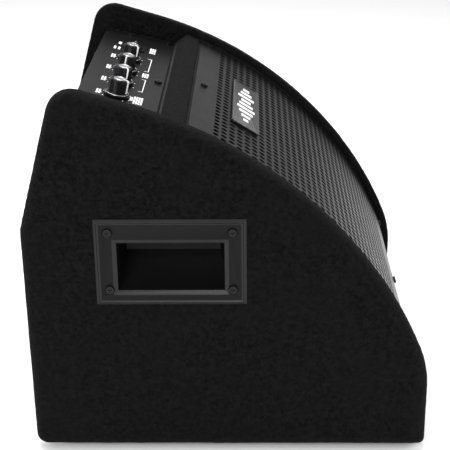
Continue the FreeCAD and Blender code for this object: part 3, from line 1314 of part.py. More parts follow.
def lead(label, y, points, bend, radius):
    """A cord through points in one plane: straight runs joined by arcs of one bend radius."""
    shift = Vector(-number(half(sheet("depth"))), number(y), number(sheet("foot_height")))
    stops = [Vector(number(x), 0, number(z)) for x, z in points]
    edges, start = [], stops[0]
    for before, corner, after in zip(stops, stops[1:], stops[2:]):
        back, ahead = (before - corner).normalize(), (after - corner).normalize()
        angle = back.getAngle(ahead)
        trim = bend / math.tan(angle / 2)
        first, last = corner + back * trim, corner + ahead * trim
        centre = corner + (back + ahead).normalize() * (bend / math.sin(angle / 2))
        middle = centre + (corner - centre).normalize() * bend
        edges += [Part.makeLine(start, first), Part.Arc(first, middle, last).toShape()]
        start = last
    edges.append(Part.makeLine(start, stops[-1]))
    route = Part.Wire(edges)
    ring = Part.Wire(Part.makeCircle(radius, stops[0], stops[1] - stops[0]))
    item = doc.addObject("Part::Feature", label)
    item.Label = label
    item.Shape = route.makePipeShell([ring], True, True)
    item.Placement = Placement(shift, Rotation())
    straight = route.Length * math.pi * radius ** 2
    print("%s: length %.1f, bend radius %.1f, volume ratio %.4f"
          % (label, route.Length, bend, item.Shape.Volume / straight))
    return keep(item)


def leads():
    """Wires from the power board to both loudspeakers, soldered into the basket and the driver."""
    radius = number(sheet("lead_radius"))
    bend = number(sheet("lead_bend"))
    board = "-(%s)" % plus(sheet("power_depth"), sheet("circuit_sheet"))
    lead("woofer_lead", sheet("woofer_lead_y"), [
        SERVICE.point("-20", board),
        SERVICE.point("-20", "-75"),
        WOOFER.point("-144", "-76"),
        WOOFER.point("-90.6", "-78.2"),
        WOOFER.point("-68.5", "-62.6")], bend, radius)
    lead("tweeter_lead", sheet("tweeter_lead_y"), [
        SERVICE.point("22", board),
        SERVICE.point("22", "-49"),
        HORN.point("-22.5", "-60")], bend, radius)


# ---- the whole wedge -----------------------------------------------------------------------------

def build():
    for name, side in (("left", -1), ("right", 1)):
        side_panel(name, side)
    boards()
    carpets()
    feet()
    grille()
    badge()
    woofer()
    horn()
    control_panel()
    potentiometers()
    knobs()
    jacks()
    power_switch()
    service_panel()
    power_supply()
    leads()
    keep(grouped("panel_nuts", PANEL_NUTS))
    keep(grouped("plate_screws", PLATE_SCREWS))
    keep(grouped("wood_screws", WOOD_SCREWS))
    doc.recompute()


def check():
    """Stop if any object failed, or any sub-part is not a sound solid."""
    for item in doc.Objects:
        if "Invalid" in item.State or "Error" in item.State:
            raise RuntimeError("%s did not rebuild" % item.Label)
    for item in PARTS:
        if item.Shape.isNull() or not item.Shape.isValid() or not item.Shape.Solids:
            raise RuntimeError("%s is not a valid solid" % item.Label)


def write():
    os.makedirs("parts", exist_ok=True)
    for item in PARTS:
        item.Shape.exportStep("parts/%s.step" % item.Label)


build()
check()
write()
print("%d sub-parts written" % len(PARTS))
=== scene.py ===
"""Looks of a carpeted stage monitor wedge, laid out as a Blender add-on."""

import json
import math
import bmesh
import bpy
from contextlib import contextmanager
from bpy.props import FloatProperty, FloatVectorProperty, IntProperty, PointerProperty
from mathutils import Matrix, Vector


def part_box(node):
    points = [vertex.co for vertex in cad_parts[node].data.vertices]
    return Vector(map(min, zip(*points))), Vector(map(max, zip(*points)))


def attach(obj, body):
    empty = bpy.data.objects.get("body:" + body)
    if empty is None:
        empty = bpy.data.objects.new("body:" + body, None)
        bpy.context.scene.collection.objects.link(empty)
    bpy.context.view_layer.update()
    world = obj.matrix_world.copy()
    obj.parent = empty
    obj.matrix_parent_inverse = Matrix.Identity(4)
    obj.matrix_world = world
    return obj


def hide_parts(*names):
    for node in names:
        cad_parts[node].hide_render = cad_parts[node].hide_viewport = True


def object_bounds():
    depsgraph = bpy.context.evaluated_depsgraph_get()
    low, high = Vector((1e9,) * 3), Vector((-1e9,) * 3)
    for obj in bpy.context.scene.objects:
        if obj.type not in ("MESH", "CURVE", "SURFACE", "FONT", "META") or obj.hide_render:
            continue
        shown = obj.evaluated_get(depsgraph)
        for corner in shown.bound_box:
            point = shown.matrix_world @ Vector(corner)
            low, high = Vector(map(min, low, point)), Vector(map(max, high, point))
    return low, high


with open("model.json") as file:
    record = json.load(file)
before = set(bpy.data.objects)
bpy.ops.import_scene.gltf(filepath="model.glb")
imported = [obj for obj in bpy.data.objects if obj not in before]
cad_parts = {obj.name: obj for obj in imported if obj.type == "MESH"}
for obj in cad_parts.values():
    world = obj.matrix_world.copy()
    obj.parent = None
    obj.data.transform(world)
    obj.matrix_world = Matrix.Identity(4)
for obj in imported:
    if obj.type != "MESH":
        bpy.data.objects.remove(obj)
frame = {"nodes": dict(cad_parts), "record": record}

bl_info = {
    "name": "Stage Monitor Wedge",
    "version": (1, 0, 0),
    "blender": (4, 5, 0),
    "location": "3D View > Sidebar > Wedge",
    "description": "Carpet, steel, plastic and paper for the wedge, and the studio around it",
    "category": "Object",
}

CAD_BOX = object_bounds()
NODES = frame["nodes"]
SIDES = (("left", -1), ("right", 1))
HALF_WIDTH = 0.200
MERGE = 0.00001
FACING = 0.9
KNOBS = (("volume", -0.078, -20), ("bass", -0.031, -60), ("middle", 0.016, -100), ("treble", 0.063, -45))


# ---- sizes and colours ---------------------------------------------------------------------------

def length(name, text, default):
    return FloatProperty(name=name, description=text, default=default, unit="LENGTH")


def colour(name, text, default):
    return FloatVectorProperty(name=name, description=text, default=default, subtype="COLOR", size=3,
                               min=0.0, max=1.0)


def turned(name, text, default):
    return FloatProperty(name=name, description=text, default=math.radians(default), subtype="ANGLE")


class WedgeSizes(bpy.types.PropertyGroup):
    bow_x: length("Bow centre X", "Centre of the long front curve", -0.220)
    bow_z: length("Bow centre Z", "Centre of the long front curve", -0.0585)
    bow_radius: length("Bow radius", "Outside of the grille", 0.437)
    hole: length("Hole", "Diameter of the grille holes", 0.0072)
    hole_pitch: length("Hole pitch", "Between the centres of neighbouring holes", 0.0106)
    hole_rows: IntProperty(name="Hole rows", description="Holes across the grille", default=33)
    hole_pairs: IntProperty(name="Hole pairs", description="Pairs of staggered columns down the grille",
                            default=16)
    field_top: turned("Field top", "Where the holes start on the bow", 62.1)
    field_low: turned("Field end", "Where the holes end on the bow", 24.6)
    margin: length("Margin", "Plain strip beside the holes", 0.0042)
    panel_x: length("Panel X", "Back edge of the control panel", -0.151893)
    panel_z: length("Panel Z", "Back edge of the control panel", 0.356)
    panel_slope: turned("Panel slope", "Fall of the control panel", 14)
    knob_row: length("Knob row", "Knobs from the back edge of the panel", 0.039)
    knob_skirt: length("Knob skirt", "Radius of the knob skirt", 0.013)
    knob_radius: length("Knob radius", "Radius of the knob grip", 0.0095)
    knob_height: length("Knob height", "Knob over the panel", 0.0184)
    badge_angle: turned("Badge angle", "Middle of the badge on the bow", 57.3)
    badge_width: length("Badge width", "Badge plate", 0.152)
    badge_height: length("Badge height", "Badge plate", 0.033)
    badge_plate: length("Badge thickness", "Badge plate", 0.0025)
    grip_length: length("Grip length", "Opening of the grips", 0.1040)
    grip_low: length("Grip floor", "Lower edge of the opening, from the middle of the flange", -0.0300)
    grip_high: length("Grip roof", "Upper edge of the opening, from the middle of the flange", 0.0200)
    grip_depth: length("Grip depth", "Finger space", 0.046)
    grip_rise: length("Grip rise", "Rise of the curved floor", 0.024)
    grip_bevel: length("Grip bevel", "Bevel round the opening", 0.0042)
    pile: length("Pile", "Unevenness of the carpet", 0.0007)
    voxel: length("Pile grain", "Grain of the carpet surface", 0.0025)


class WedgeColours(bpy.types.PropertyGroup):
    carpet: colour("Carpet", "Carpet pile", (0.0037, 0.0037, 0.0039))
    steel: colour("Steel", "Powder coated steel", (0.0042, 0.0042, 0.0045))
    plastic: colour("Plastic", "Moulded plastic", (0.0042, 0.0042, 0.0045))
    mark: colour("Marks", "White marks on the panel and the badge", (0.82, 0.82, 0.82))
    alloy: colour("Alloy", "Turned knob caps", (0.50, 0.50, 0.52))
    plywood: colour("Plywood", "Boards inside", (0.46, 0.31, 0.17))
    floor: colour("Floor", "Studio floor", (0.92, 0.92, 0.92))


# ---- shader maths --------------------------------------------------------------------------------

class Value:
    """A number that changes over a surface. Arithmetic on it adds Math nodes."""

    def __init__(self, finish, socket):
        self.finish, self.socket = finish, socket

    def join(self, operation, *terms):
        node = self.finish.node("ShaderNodeMath", {"operation": operation}, dict(enumerate(terms)))
        return Value(self.finish, node.outputs[0])

    def __add__(self, other):
        return self.join("ADD", self, other)

    def __sub__(self, other):
        return self.join("SUBTRACT", self, other)

    def __rsub__(self, other):
        return self.join("SUBTRACT", other, self)

    def __mul__(self, other):
        return self.join("MULTIPLY", self, other)

    def __truediv__(self, other):
        return self.join("DIVIDE", self, other)

    def __rtruediv__(self, other):
        return self.join("DIVIDE", other, self)

    def __pow__(self, other):
        return self.join("POWER", self, other)

    def __gt__(self, other):
        return self.join("GREATER_THAN", self, other)

    def __lt__(self, other):
        return self.join("LESS_THAN", self, other)

    def __abs__(self):
        return self.join("ABSOLUTE", self)

    __radd__ = __add__
    __rmul__ = __mul__

    def ramp(self, low, high, start=0.0, end=1.0):
        """Rescale low..high to start..end, held at both ends."""
        node = self.finish.node("ShaderNodeMapRange", {"interpolation_type": "SMOOTHSTEP"},
                                {0: self, 1: low, 2: high, 3: start, 4: end})
        return Value(self.finish, node.outputs[0])

    def wave(self, pitch):
        """A sine of this length, as -1..1."""
        return (self * (2 * math.pi / pitch)).join("SINE", self * (2 * math.pi / pitch))


class Finish:
    """One procedural material."""

    def __init__(self, name, **fixed):
        self.material = bpy.data.materials.new(name)
        self.material.use_nodes = True
        self.tree = self.material.node_tree
        self.surface = self.tree.nodes["Principled BSDF"]
        for socket, value in fixed.items():
            self.surface.inputs[socket.replace("_", " ")].default_value = value
        self.where = self.node("ShaderNodeTexCoord").outputs["Object"]

    def node(self, kind, settings=None, sockets=None):
        """Add a node: its settings first, then the values or links of its sockets."""
        node = self.tree.nodes.new(kind)
        for name, value in (settings or {}).items():
            setattr(node, name, value)
        for name, value in (sockets or {}).items():
            if isinstance(value, Value):
                value = value.socket
            if isinstance(value, bpy.types.NodeSocket):
                self.tree.links.new(value, node.inputs[name])
            else:
                node.inputs[name].default_value = value
        return node

    def stretched(self, scale, turn=(0, 0, 0), shift=(0, 0, 0)):
        """Object coordinates, shifted, turned and scaled."""
        return self.node("ShaderNodeMapping", {"vector_type": "POINT"},
                         {"Vector": self.where, "Location": shift, "Rotation": turn,
                          "Scale": scale}).outputs[0]

    def noise(self, size, detail=3.0, rough=0.55, stretch=(1, 1, 1), turn=(0, 0, 0), distortion=0.0):
        """Noise whose grain is about this many metres, as 0..1."""
        node = self.node("ShaderNodeTexNoise", {"noise_dimensions": "3D"}, {
            "Vector": self.stretched([part / size for part in stretch], turn), "Scale": 1.0,
            "Detail": detail, "Roughness": rough, "Distortion": distortion})
        return Value(self, node.outputs[0])

    def cells(self, size, feature="F1", spread=1.0):
        node = self.node("ShaderNodeTexVoronoi", {"feature": feature}, {
            "Vector": self.stretched((1 / size, 1 / size, 1 / size)), "Scale": 1.0, "Randomness": spread})
        return Value(self, node.outputs["Distance"])

    def axis(self, index, turn=(0, 0, 0), shift=(0, 0, 0)):
        node = self.node("ShaderNodeSeparateXYZ", None, {0: self.stretched((1, 1, 1), turn, shift)})
        return Value(self, node.outputs[index])

    def blend(self, factor, first, second):
        """Colour between two colours, each a socket or three numbers."""
        pair = [side if isinstance(side, bpy.types.NodeSocket) else (*side, 1.0) for side in (first, second)]
        node = self.node("ShaderNodeMix", {"data_type": "RGBA", "blend_type": "MIX"},
                         {"Factor": factor, 6: pair[0], 7: pair[1]})
        return node.outputs[2]

    def paint(self, **inputs):
        """Link what varies over the surface."""
        for name, value in inputs.items():
            socket = self.surface.inputs[name.replace("_", " ")]
            self.tree.links.new(value.socket if isinstance(value, Value) else value, socket)
        return self

    def emboss(self, height, depth, strength=1.0):
        """Raise the surface by height, 0..1, times a depth in metres."""
        bump = self.node("ShaderNodeBump", None, {"Strength": strength, "Distance": depth, "Height": height})
        return self.paint(Normal=bump.outputs[0])


def tint(base, gain):
    return tuple(min(1.0, part * gain) for part in base)


# ---- finishes ------------------------------------------------------------------------------------

FINISHES = {}


def carpet_pile(look):
    """Short needle-punched pile: matted fibres, darker pits, lighter crushed patches."""
    base = tuple(look.carpet)
    pile = Finish("carpet_pile", Sheen_Weight=0.025, Sheen_Roughness=0.5, Specular_IOR_Level=0.03)
    pile.surface.inputs["Sheen Tint"].default_value = (0.75, 0.77, 0.80, 1.0)
    fibre = pile.noise(0.0011, 4.0, 0.7)
    tuft = pile.noise(0.0042, 3.0, 0.6)
    patch = pile.noise(0.045, 3.0, 0.5)
    lint = pile.cells(0.0065).ramp(0.05, 0.16, 1.0, 0.0) * pile.noise(0.004, 1.0).ramp(0.60, 0.72)
    shade = (fibre * 0.55 + tuft * 0.45).ramp(0.32, 0.68)
    tone = pile.blend(shade, tint(base, 0.12), tint(base, 2.3))
    worn = pile.blend(patch.ramp(0.35, 0.75) * 0.5, tone, tint(base, 1.35))
    pile.paint(Base_Color=pile.blend(lint * 0.5, worn, tint(base, 8.0)), Roughness=fibre * 0.12 + 0.84)
    return pile.emboss(fibre * 0.6 + tuft * 0.7, 0.0019)


def felt_strip(look):
    base = tint(look.carpet, 0.8)
    felt = Finish("felt_strip", Sheen_Weight=0.03, Specular_IOR_Level=0.04)
    hair = felt.noise(0.0009, 4.0, 0.7, (1, 0.3, 1))
    felt.paint(Base_Color=felt.blend(hair, tint(base, 0.5), tint(base, 1.6)), Roughness=hair * 0.1 + 0.86)
    return felt.emboss(hair, 0.0006)


def powder_coat(name, base, rough, gloss=0.0):
    """Baked powder on steel: orange peel, and slight wear that lifts the tone."""
    coat = Finish(name, Coat_Weight=gloss, Coat_Roughness=0.25, Specular_IOR_Level=0.13)
    peel = coat.noise(0.0011, 2.0, 0.5)
    grain = coat.noise(0.0003, 2.0, 0.6)
    haze = coat.noise(0.03, 4.0, 0.6)
    rub = coat.noise(0.012, 5.0, 0.7).ramp(0.62, 0.78)
    tone = coat.blend(haze, tint(base, 0.75), tint(base, 1.3))
    coat.paint(Base_Color=coat.blend(rub * 0.35, tone, tint(base, 2.6)),
               Roughness=haze * 0.12 + grain * 0.08 + (rough - 0.1))
    return coat.emboss(peel * 0.8 + grain * 0.2, 0.00022)


def moulded(name, base, rough, grain_size=0.0006, depth=0.00012):
    """Moulded plastic with a fine spark-eroded texture and faint flow marks."""
    plastic = Finish(name, Specular_IOR_Level=0.12)
    grain = plastic.noise(grain_size, 3.0, 0.6)
    flow = plastic.noise(0.03, 3.0, 0.5, (1, 0.35, 1))
    dust = plastic.noise(0.006, 6.0, 0.75).ramp(0.60, 0.80)
    tone = plastic.blend(flow, tint(base, 0.8), tint(base, 1.25))
    plastic.paint(Base_Color=plastic.blend(dust * 0.25, tone, tint(base, 3.0)),
                  Roughness=grain * 0.14 + dust * 0.08 + (rough - 0.08))
    return plastic.emboss(grain, depth)


def turned_metal(name, base, rough, stretch, size=0.0005):
    """Metal with fine drawn or turned lines."""
    metal = Finish(name, Metallic=1.0)
    lines = metal.noise(size, 4.0, 0.65, stretch)
    cloud = metal.noise(0.02, 3.0, 0.5)
    metal.paint(Base_Color=metal.blend(lines, tint(base, 0.78), tint(base, 1.12)),
                Roughness=lines * 0.18 + cloud * 0.08 + (rough - 0.13))
    return metal.emboss(lines, 0.00005)


def plywood(look):
    """Birch plywood: long grain on the face and thin dark plies."""
    base = tuple(look.plywood)
    wood = Finish("plywood", Specular_IOR_Level=0.3)
    grain = wood.noise(0.006, 5.0, 0.6, (1, 0.07, 1), distortion=0.6)
    pore = wood.noise(0.0012, 3.0, 0.7, (1, 0.06, 1))
    knot = wood.noise(0.09, 2.0, 0.5)
    tone = wood.blend(grain.ramp(0.3, 0.7), tint(base, 0.62), tint(base, 1.12))
    wood.paint(Base_Color=wood.blend(knot.ramp(0.55, 0.75) * 0.4, tone, tint(base, 0.7)),
               Roughness=pore * 0.2 + 0.55)
    return wood.emboss(pore * 0.5 + grain * 0.5, 0.0003)


def painted_plywood(look):
    """Plywood under a thin coat of black paint, with the grain still raised."""
    board = Finish("painted_plywood", Specular_IOR_Level=0.25)
    grain = board.noise(0.006, 5.0, 0.6, (1, 0.07, 1), distortion=0.6)
    pore = board.noise(0.0012, 3.0, 0.7, (1, 0.06, 1))
    board.paint(Base_Color=board.blend(grain, (0.005, 0.005, 0.005), (0.013, 0.012, 0.011)),
                Roughness=pore * 0.2 + 0.62)
    return board.emboss(pore * 0.5 + grain * 0.5, 0.0003)


def cone_paper(name, base, depth=0.0004):
    """Pressed paper: random fibres and a faint mottle."""
    paper = Finish(name, Specular_IOR_Level=0.2)
    fibre = paper.noise(0.0014, 5.0, 0.75, distortion=1.2)
    mottle = paper.noise(0.011, 3.0, 0.5)
    paper.paint(Base_Color=paper.blend(fibre * 0.6 + mottle * 0.4, tint(base, 0.6), tint(base, 1.7)),
                Roughness=fibre * 0.2 + 0.7)
    return paper.emboss(fibre, depth)


def woven(name, base, pitch):
    """Woven cloth: crossing threads on the piece's own axes."""
    cloth = Finish(name, Sheen_Weight=0.1, Specular_IOR_Level=0.2)
    warp = abs(cloth.axis(0).wave(pitch))
    weft = abs(cloth.axis(1).wave(pitch))
    thread = cloth.noise(pitch * 0.6, 2.0)
    weave = warp * 0.4 + weft * 0.4 + thread * 0.2
    cloth.paint(Base_Color=cloth.blend(weave, tint(base, 0.5), tint(base, 1.25)),
                Roughness=thread * 0.1 + 0.78)
    return cloth.emboss(weave, 0.0003)


def ferrite(look):
    ring = Finish("ferrite", Specular_IOR_Level=0.35)
    sinter = ring.noise(0.0016, 5.0, 0.7)
    stain = ring.noise(0.02, 3.0)
    ring.paint(Base_Color=ring.blend(sinter * 0.5 + stain * 0.5, (0.02, 0.02, 0.022), (0.075, 0.075, 0.08)),
               Roughness=sinter * 0.25 + 0.5)
    return ring.emboss(sinter, 0.0003)


def copper_winding(look):
    """Enamelled wire laid in turns."""
    wire = Finish("copper_winding", Metallic=0.85)
    turns = abs(wire.axis(2).wave(0.0022))
    scuff = wire.noise(0.004, 4.0, 0.6)
    wire.paint(Base_Color=wire.blend(turns * 0.7 + scuff * 0.3, (0.22, 0.07, 0.02), (0.78, 0.36, 0.14)),
               Roughness=scuff * 0.2 + 0.28)
    return wire.emboss(turns, 0.0005)


def circuit(look):
    """Green laminate with lighter copper runs and solder points."""
    board = Finish("circuit", Coat_Weight=0.4, Coat_Roughness=0.2, Specular_IOR_Level=0.5)
    runs = board.cells(0.007, "DISTANCE_TO_EDGE", 0.35).ramp(0.03, 0.06, 1.0, 0.0)
    pads = board.cells(0.0036, "F1", 0.2).ramp(0.12, 0.2, 1.0, 0.0)
    mottle = board.noise(0.01, 3.0)
    tone = board.blend(mottle, (0.008, 0.075, 0.03), (0.014, 0.11, 0.045))
    traced = board.blend(runs * 0.7, tone, (0.03, 0.22, 0.08))
    board.paint(Base_Color=board.blend(pads, traced, (0.62, 0.60, 0.55)), Metallic=pads * 0.8,
                Roughness=mottle * 0.15 + 0.3)
    return board.emboss(runs + pads, 0.0001)


def rubber(name, base):
    gum = Finish(name, Specular_IOR_Level=0.3)
    bloom = gum.noise(0.008, 5.0, 0.7)
    grain = gum.noise(0.0009, 3.0, 0.6)
    gum.paint(Base_Color=gum.blend(bloom.ramp(0.4, 0.75), tint(base, 0.8), tint(base, 2.2)),
              Roughness=grain * 0.15 + 0.66)
    return gum.emboss(grain, 0.0002)


def lamp_lens(look):
    """A dark green lens, not lit."""
    lens = Finish("lamp_lens", Coat_Weight=0.3, Coat_Roughness=0.08)
    facet = lens.noise(0.002, 2.0)
    lens.paint(Base_Color=lens.blend(facet, (0.003, 0.014, 0.005), (0.006, 0.030, 0.010)),
               Roughness=facet * 0.1 + 0.12)
    return lens


def screen_ink(look):
    """White screen print, slightly uneven."""
    ink = Finish("screen_ink", Specular_IOR_Level=0.4)
    patchy = ink.noise(0.0012, 4.0, 0.7)
    ink.paint(Base_Color=ink.blend(patchy.ramp(0.25, 0.5), tint(look.mark, 0.72), tuple(look.mark)),
              Roughness=patchy * 0.2 + 0.4)
    return ink.emboss(patchy, 0.00003)


def lead_sheath(look):
    return moulded("lead_sheath", (0.03, 0.03, 0.03), 0.5, 0.0016)


SLOT_FINISHES = {
    "plywood": plywood,
    "painted_plywood": painted_plywood,
    "carpet": carpet_pile,
    "black_plastic": lambda look: moulded("black_plastic", tuple(look.plastic), 0.42, 0.0007, 0.00016),
    "knob_plastic": lambda look: moulded("knob_plastic", tint(look.plastic, 0.8), 0.36, 0.0004, 0.00006),
    "black_steel": lambda look: powder_coat("black_steel", tuple(look.steel), 0.34, 0.04),
    "badge_plastic": lambda look: powder_coat("badge_plastic", (0.006, 0.006, 0.007), 0.22, 0.5),
    "zinc": lambda look: turned_metal("zinc", (0.55, 0.56, 0.58), 0.38, (1, 1, 6)),
    "ferrite": ferrite,
    "copper": copper_winding,
    "paper": lambda look: cone_paper("cone_paper", (0.022, 0.022, 0.023)),
    "treated_cloth": lambda look: woven("treated_cloth", (0.34, 0.20, 0.07), 0.0014),
    "felt_board": lambda look: cone_paper("felt_board", (0.03, 0.03, 0.031), 0.0006),
    "black_screw": lambda look: powder_coat("black_screw", (0.006, 0.006, 0.007), 0.24, 0.12),
    "circuit": circuit,
    "brass": lambda look: turned_metal("brass", (0.66, 0.48, 0.20), 0.3, (8, 1, 8)),
    "rubber": lambda look: rubber("rubber", (0.011, 0.011, 0.011)),
    "lamp": lamp_lens,
    "aluminium": lambda look: powder_coat("aluminium", (0.03, 0.03, 0.032), 0.4, 0.1),
    "wire": lead_sheath,
}


def finish(slot):
    """The material of a slot of the record, made on first use."""
    if slot not in FINISHES:
        FINISHES[slot] = SLOT_FINISHES[slot](bpy.context.scene.wedge_colours).material
    return FINISHES[slot]


def extra_finish(name, maker):
    if name not in FINISHES:
        FINISHES[name] = maker(bpy.context.scene.wedge_colours).material
    return FINISHES[name]


# ---- modelling by hand ---------------------------------------------------------------------------

def clear():
    if bpy.context.object and bpy.context.object.mode != "OBJECT":
        bpy.ops.object.mode_set(mode="OBJECT")
    for item in bpy.context.selected_objects:
        item.select_set(False)


def pick(*items):
    clear()
    for item in items:
        item.select_set(True)
    bpy.context.view_layer.objects.active = items[0]


def primitive(operator, name, **options):
    """Add a primitive with nothing else selected."""
    clear()
    operator(**options)
    piece = bpy.context.object
    piece.name = piece.data.name = name
    return piece


def block(name, size, spot=(0, 0, 0)):
    piece = primitive(bpy.ops.mesh.primitive_cube_add, name, size=1.0)
    place(piece, Matrix.Translation(spot) @ Matrix.Diagonal((*size, 1.0)))
    return piece


def place(piece, matrix):
    """Put the place into the mesh, and leave the object at the origin."""
    piece.data.transform(matrix @ piece.matrix_world)
    piece.matrix_world = Matrix.Identity(4)
    if matrix.determinant() < 0:
        with edit(piece):
            bpy.ops.mesh.select_all(action="SELECT")
            bpy.ops.mesh.flip_normals()
    return piece


@contextmanager
def edit(piece, mode="FACE"):
    pick(piece)
    bpy.ops.object.mode_set(mode="EDIT")
    bpy.ops.mesh.select_mode(type=mode)
    bpy.ops.mesh.select_all(action="DESELECT")
    yield
    bpy.ops.object.mode_set(mode="OBJECT")


def choose(test, kind="faces"):
    """Select what passes a test, in edit mode, and say how many."""
    mesh = bpy.context.object.data
    form = bmesh.from_edit_mesh(mesh)
    found = 0
    for item in getattr(form, kind):
        item.select = bool(test(item))
        found += item.select
    form.select_flush_mode()
    bmesh.update_edit_mesh(mesh)
    if not found:
        raise RuntimeError("nothing to select on %s" % bpy.context.object.name)
    return found


def modify(piece, kind, **settings):
    """Add a modifier and apply it."""
    pick(piece)
    change = piece.modifiers.new(kind.lower(), kind)
    for name, value in settings.items():
        setattr(change, name, value)
    bpy.ops.object.modifier_apply(modifier=change.name)
    return piece


def copy_of(piece, name, matrix=None):
    """A copy with its own mesh."""
    pick(piece)
    bpy.ops.object.duplicate(linked=False)
    twin = bpy.context.object
    twin.name = twin.data.name = name
    if matrix is not None:
        place(twin, matrix)
    return twin


def copy_of_node(node, name):
    """A clean, merged copy of a CAD node, to shape further."""
    source = NODES[node]
    hidden = source.hide_viewport
    source.hide_viewport = False
    pick(source)
    bpy.ops.object.duplicate(linked=False)
    source.hide_viewport = hidden
    twin = bpy.context.object
    for key in list(twin.keys()):
        del twin[key]
    twin.parent = None
    twin.matrix_world = Matrix.Identity(4)
    twin.name = twin.data.name = name
    twin.data.materials.clear()
    with edit(twin, "VERT"):
        bpy.ops.mesh.select_all(action="SELECT")
        bpy.ops.mesh.remove_doubles(threshold=MERGE)
        if bpy.context.object.data.has_custom_normals:
            bpy.ops.mesh.customdata_custom_splitnormals_clear()
    return twin


def one(name, pieces):
    """Join pieces into one object."""
    pick(*pieces)
    if len(pieces) > 1:
        bpy.ops.object.join()
    whole = bpy.context.object
    whole.name = whole.data.name = name
    return whole


def smooth(piece, degrees=32):
    pick(piece)
    bpy.ops.object.shade_smooth_by_angle(angle=math.radians(degrees))
    return piece


def hand_over(piece, body, slot, *nodes, material=None, angle=32):
    """Finish a piece: give it a material (the slot's finish unless one is given), smooth shading and a body,
    and hide the CAD nodes that it stands for.
    """
    if not piece.data.materials:
        piece.data.materials.append(material or finish(slot))
    smooth(piece, angle)
    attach(piece, body)
    if nodes:
        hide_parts(*nodes)
    return piece


def panel_frame(along, across, up=0.0, turn=0.0):
    """A frame on the control panel: local X runs down the slope, local Z out of the panel."""
    sizes = bpy.context.scene.wedge_sizes
    slope = Matrix.Rotation(sizes.panel_slope, 4, "Y")
    return (Matrix.Translation((sizes.panel_x, 0, sizes.panel_z)) @ slope
            @ Matrix.Translation((along, across, up)) @ Matrix.Rotation(turn, 4, "Z"))


def bow_frame(angle, across=0.0, up=0.0):
    """A frame on the grille: local X runs down the bow, local Z out of it."""
    sizes = bpy.context.scene.wedge_sizes
    return (Matrix.Translation((sizes.bow_x, across, sizes.bow_z))
            @ Matrix.Rotation(math.pi / 2 - angle, 4, "Y")
            @ Matrix.Translation((0, 0, sizes.bow_radius + up)))


class Step(bpy.types.Operator):
    """Common to the steps that make the wedge."""
    bl_options = {"REGISTER", "UNDO"}

    def execute(self, context):
        self.make(context.scene.wedge_sizes, context.scene.wedge_colours)
        return {"FINISHED"}


# ---- carpet --------------------------------------------------------------------------------------

def pile_over(piece, sizes, grain, rounds=2):
    """Give a plain cover the soft edges and the uneven surface of pile."""
    modify(piece, "REMESH", mode="VOXEL", voxel_size=grain, adaptivity=0.0)
    modify(piece, "SMOOTH", factor=0.5, iterations=rounds)
    for name, size, share in (("fine", 0.004, 1.0), ("broad", 0.03, 0.6)):
        tuft = bpy.data.textures.new("%s_%s" % (piece.name, name), "CLOUDS")
        tuft.noise_scale = size
        tuft.noise_depth = 2
        modify(piece, "DISPLACE", texture=tuft, texture_coords="LOCAL", mid_level=0.5,
               strength=sizes.pile * share, direction="NORMAL")


class WEDGE_OT_side_covers(Step):
    """Carpet over the two side panels, wrapped round their edges"""
    bl_idname = "wedge.side_covers"
    bl_label = "Side Covers"

    def make(self, sizes, look):
        for side, _ in SIDES:
            cover = copy_of_node(side + "_side_carpet", side + "_side_cover")
            pile_over(cover, sizes, sizes.voxel)
            hand_over(cover, "cabinet", "carpet", side + "_side_carpet", angle=180)


class WEDGE_OT_body_covers(Step):
    """Carpet down the back, under the floor, up the front, and over the rail"""
    bl_idname = "wedge.body_covers"
    bl_label = "Body Covers"

    def make(self, sizes, look):
        for node, grain, rounds in (("wrap_carpet", 1.15, 2), ("rail_carpet", 0.8, 9), ("grille_felt", 0.6, 1)):
            cover = copy_of_node(node, node.replace("carpet", "cover"))
            pile_over(cover, sizes, sizes.voxel * grain, rounds)
            hand_over(cover, "cabinet", "carpet", node, angle=180,
                      material=extra_finish("felt_strip", felt_strip) if node == "grille_felt" else None)


class WEDGE_OT_feet(Step):
    """Rubber feet with rounded rims"""
    bl_idname = "wedge.feet"
    bl_label = "Feet"

    def make(self, sizes, look):
        feet = copy_of_node("rubber_feet", "foot_pads")
        modify(feet, "BEVEL", width=0.0011, segments=3, limit_method="ANGLE", angle_limit=math.radians(50))
        hand_over(feet, "cabinet", "rubber", "rubber_feet", angle=35)


# ---- grips ---------------------------------------------------------------------------------------

FLANGE_BASE = 0.0006
LIP_RISE, LIP_FLAT, LIP_INSIDE, LIP_FALL = 0.0026, 0.0009, 0.0016, 0.0014
BEVEL_FALL = 0.6
SHELL_WALL, SHELL_GROW = 0.0025, 0.0024
SCOOP_STEPS, SCOOP_TAPER, ROOF_TAPER = 12, 0.010, 0.003
SEAT_ACROSS, SEAT_RISES = 0.060, (-0.0285, 0.0315)
SEAT_RADIUS, SEAT_DEPTH, SEAT_MIDDLE = 0.0048, 0.004, 0.0028


def fit(width, low, high):
    """Fit the chosen face to a width, a lower edge and an upper edge."""
    spots = [corner.co for corner in bmesh.from_edit_mesh(bpy.context.object.data).verts if corner.select]
    wide = max(spot.x for spot in spots) - min(spot.x for spot in spots)
    foot, head = min(spot.y for spot in spots), max(spot.y for spot in spots)
    half_way = (foot + head) / 2
    bpy.ops.transform.resize(value=(width / wide, (high - low) / (head - foot), 1),
                             center_override=(0, half_way, 0))
    bpy.ops.transform.translate(value=(0, (high + low) / 2 - half_way, 0))


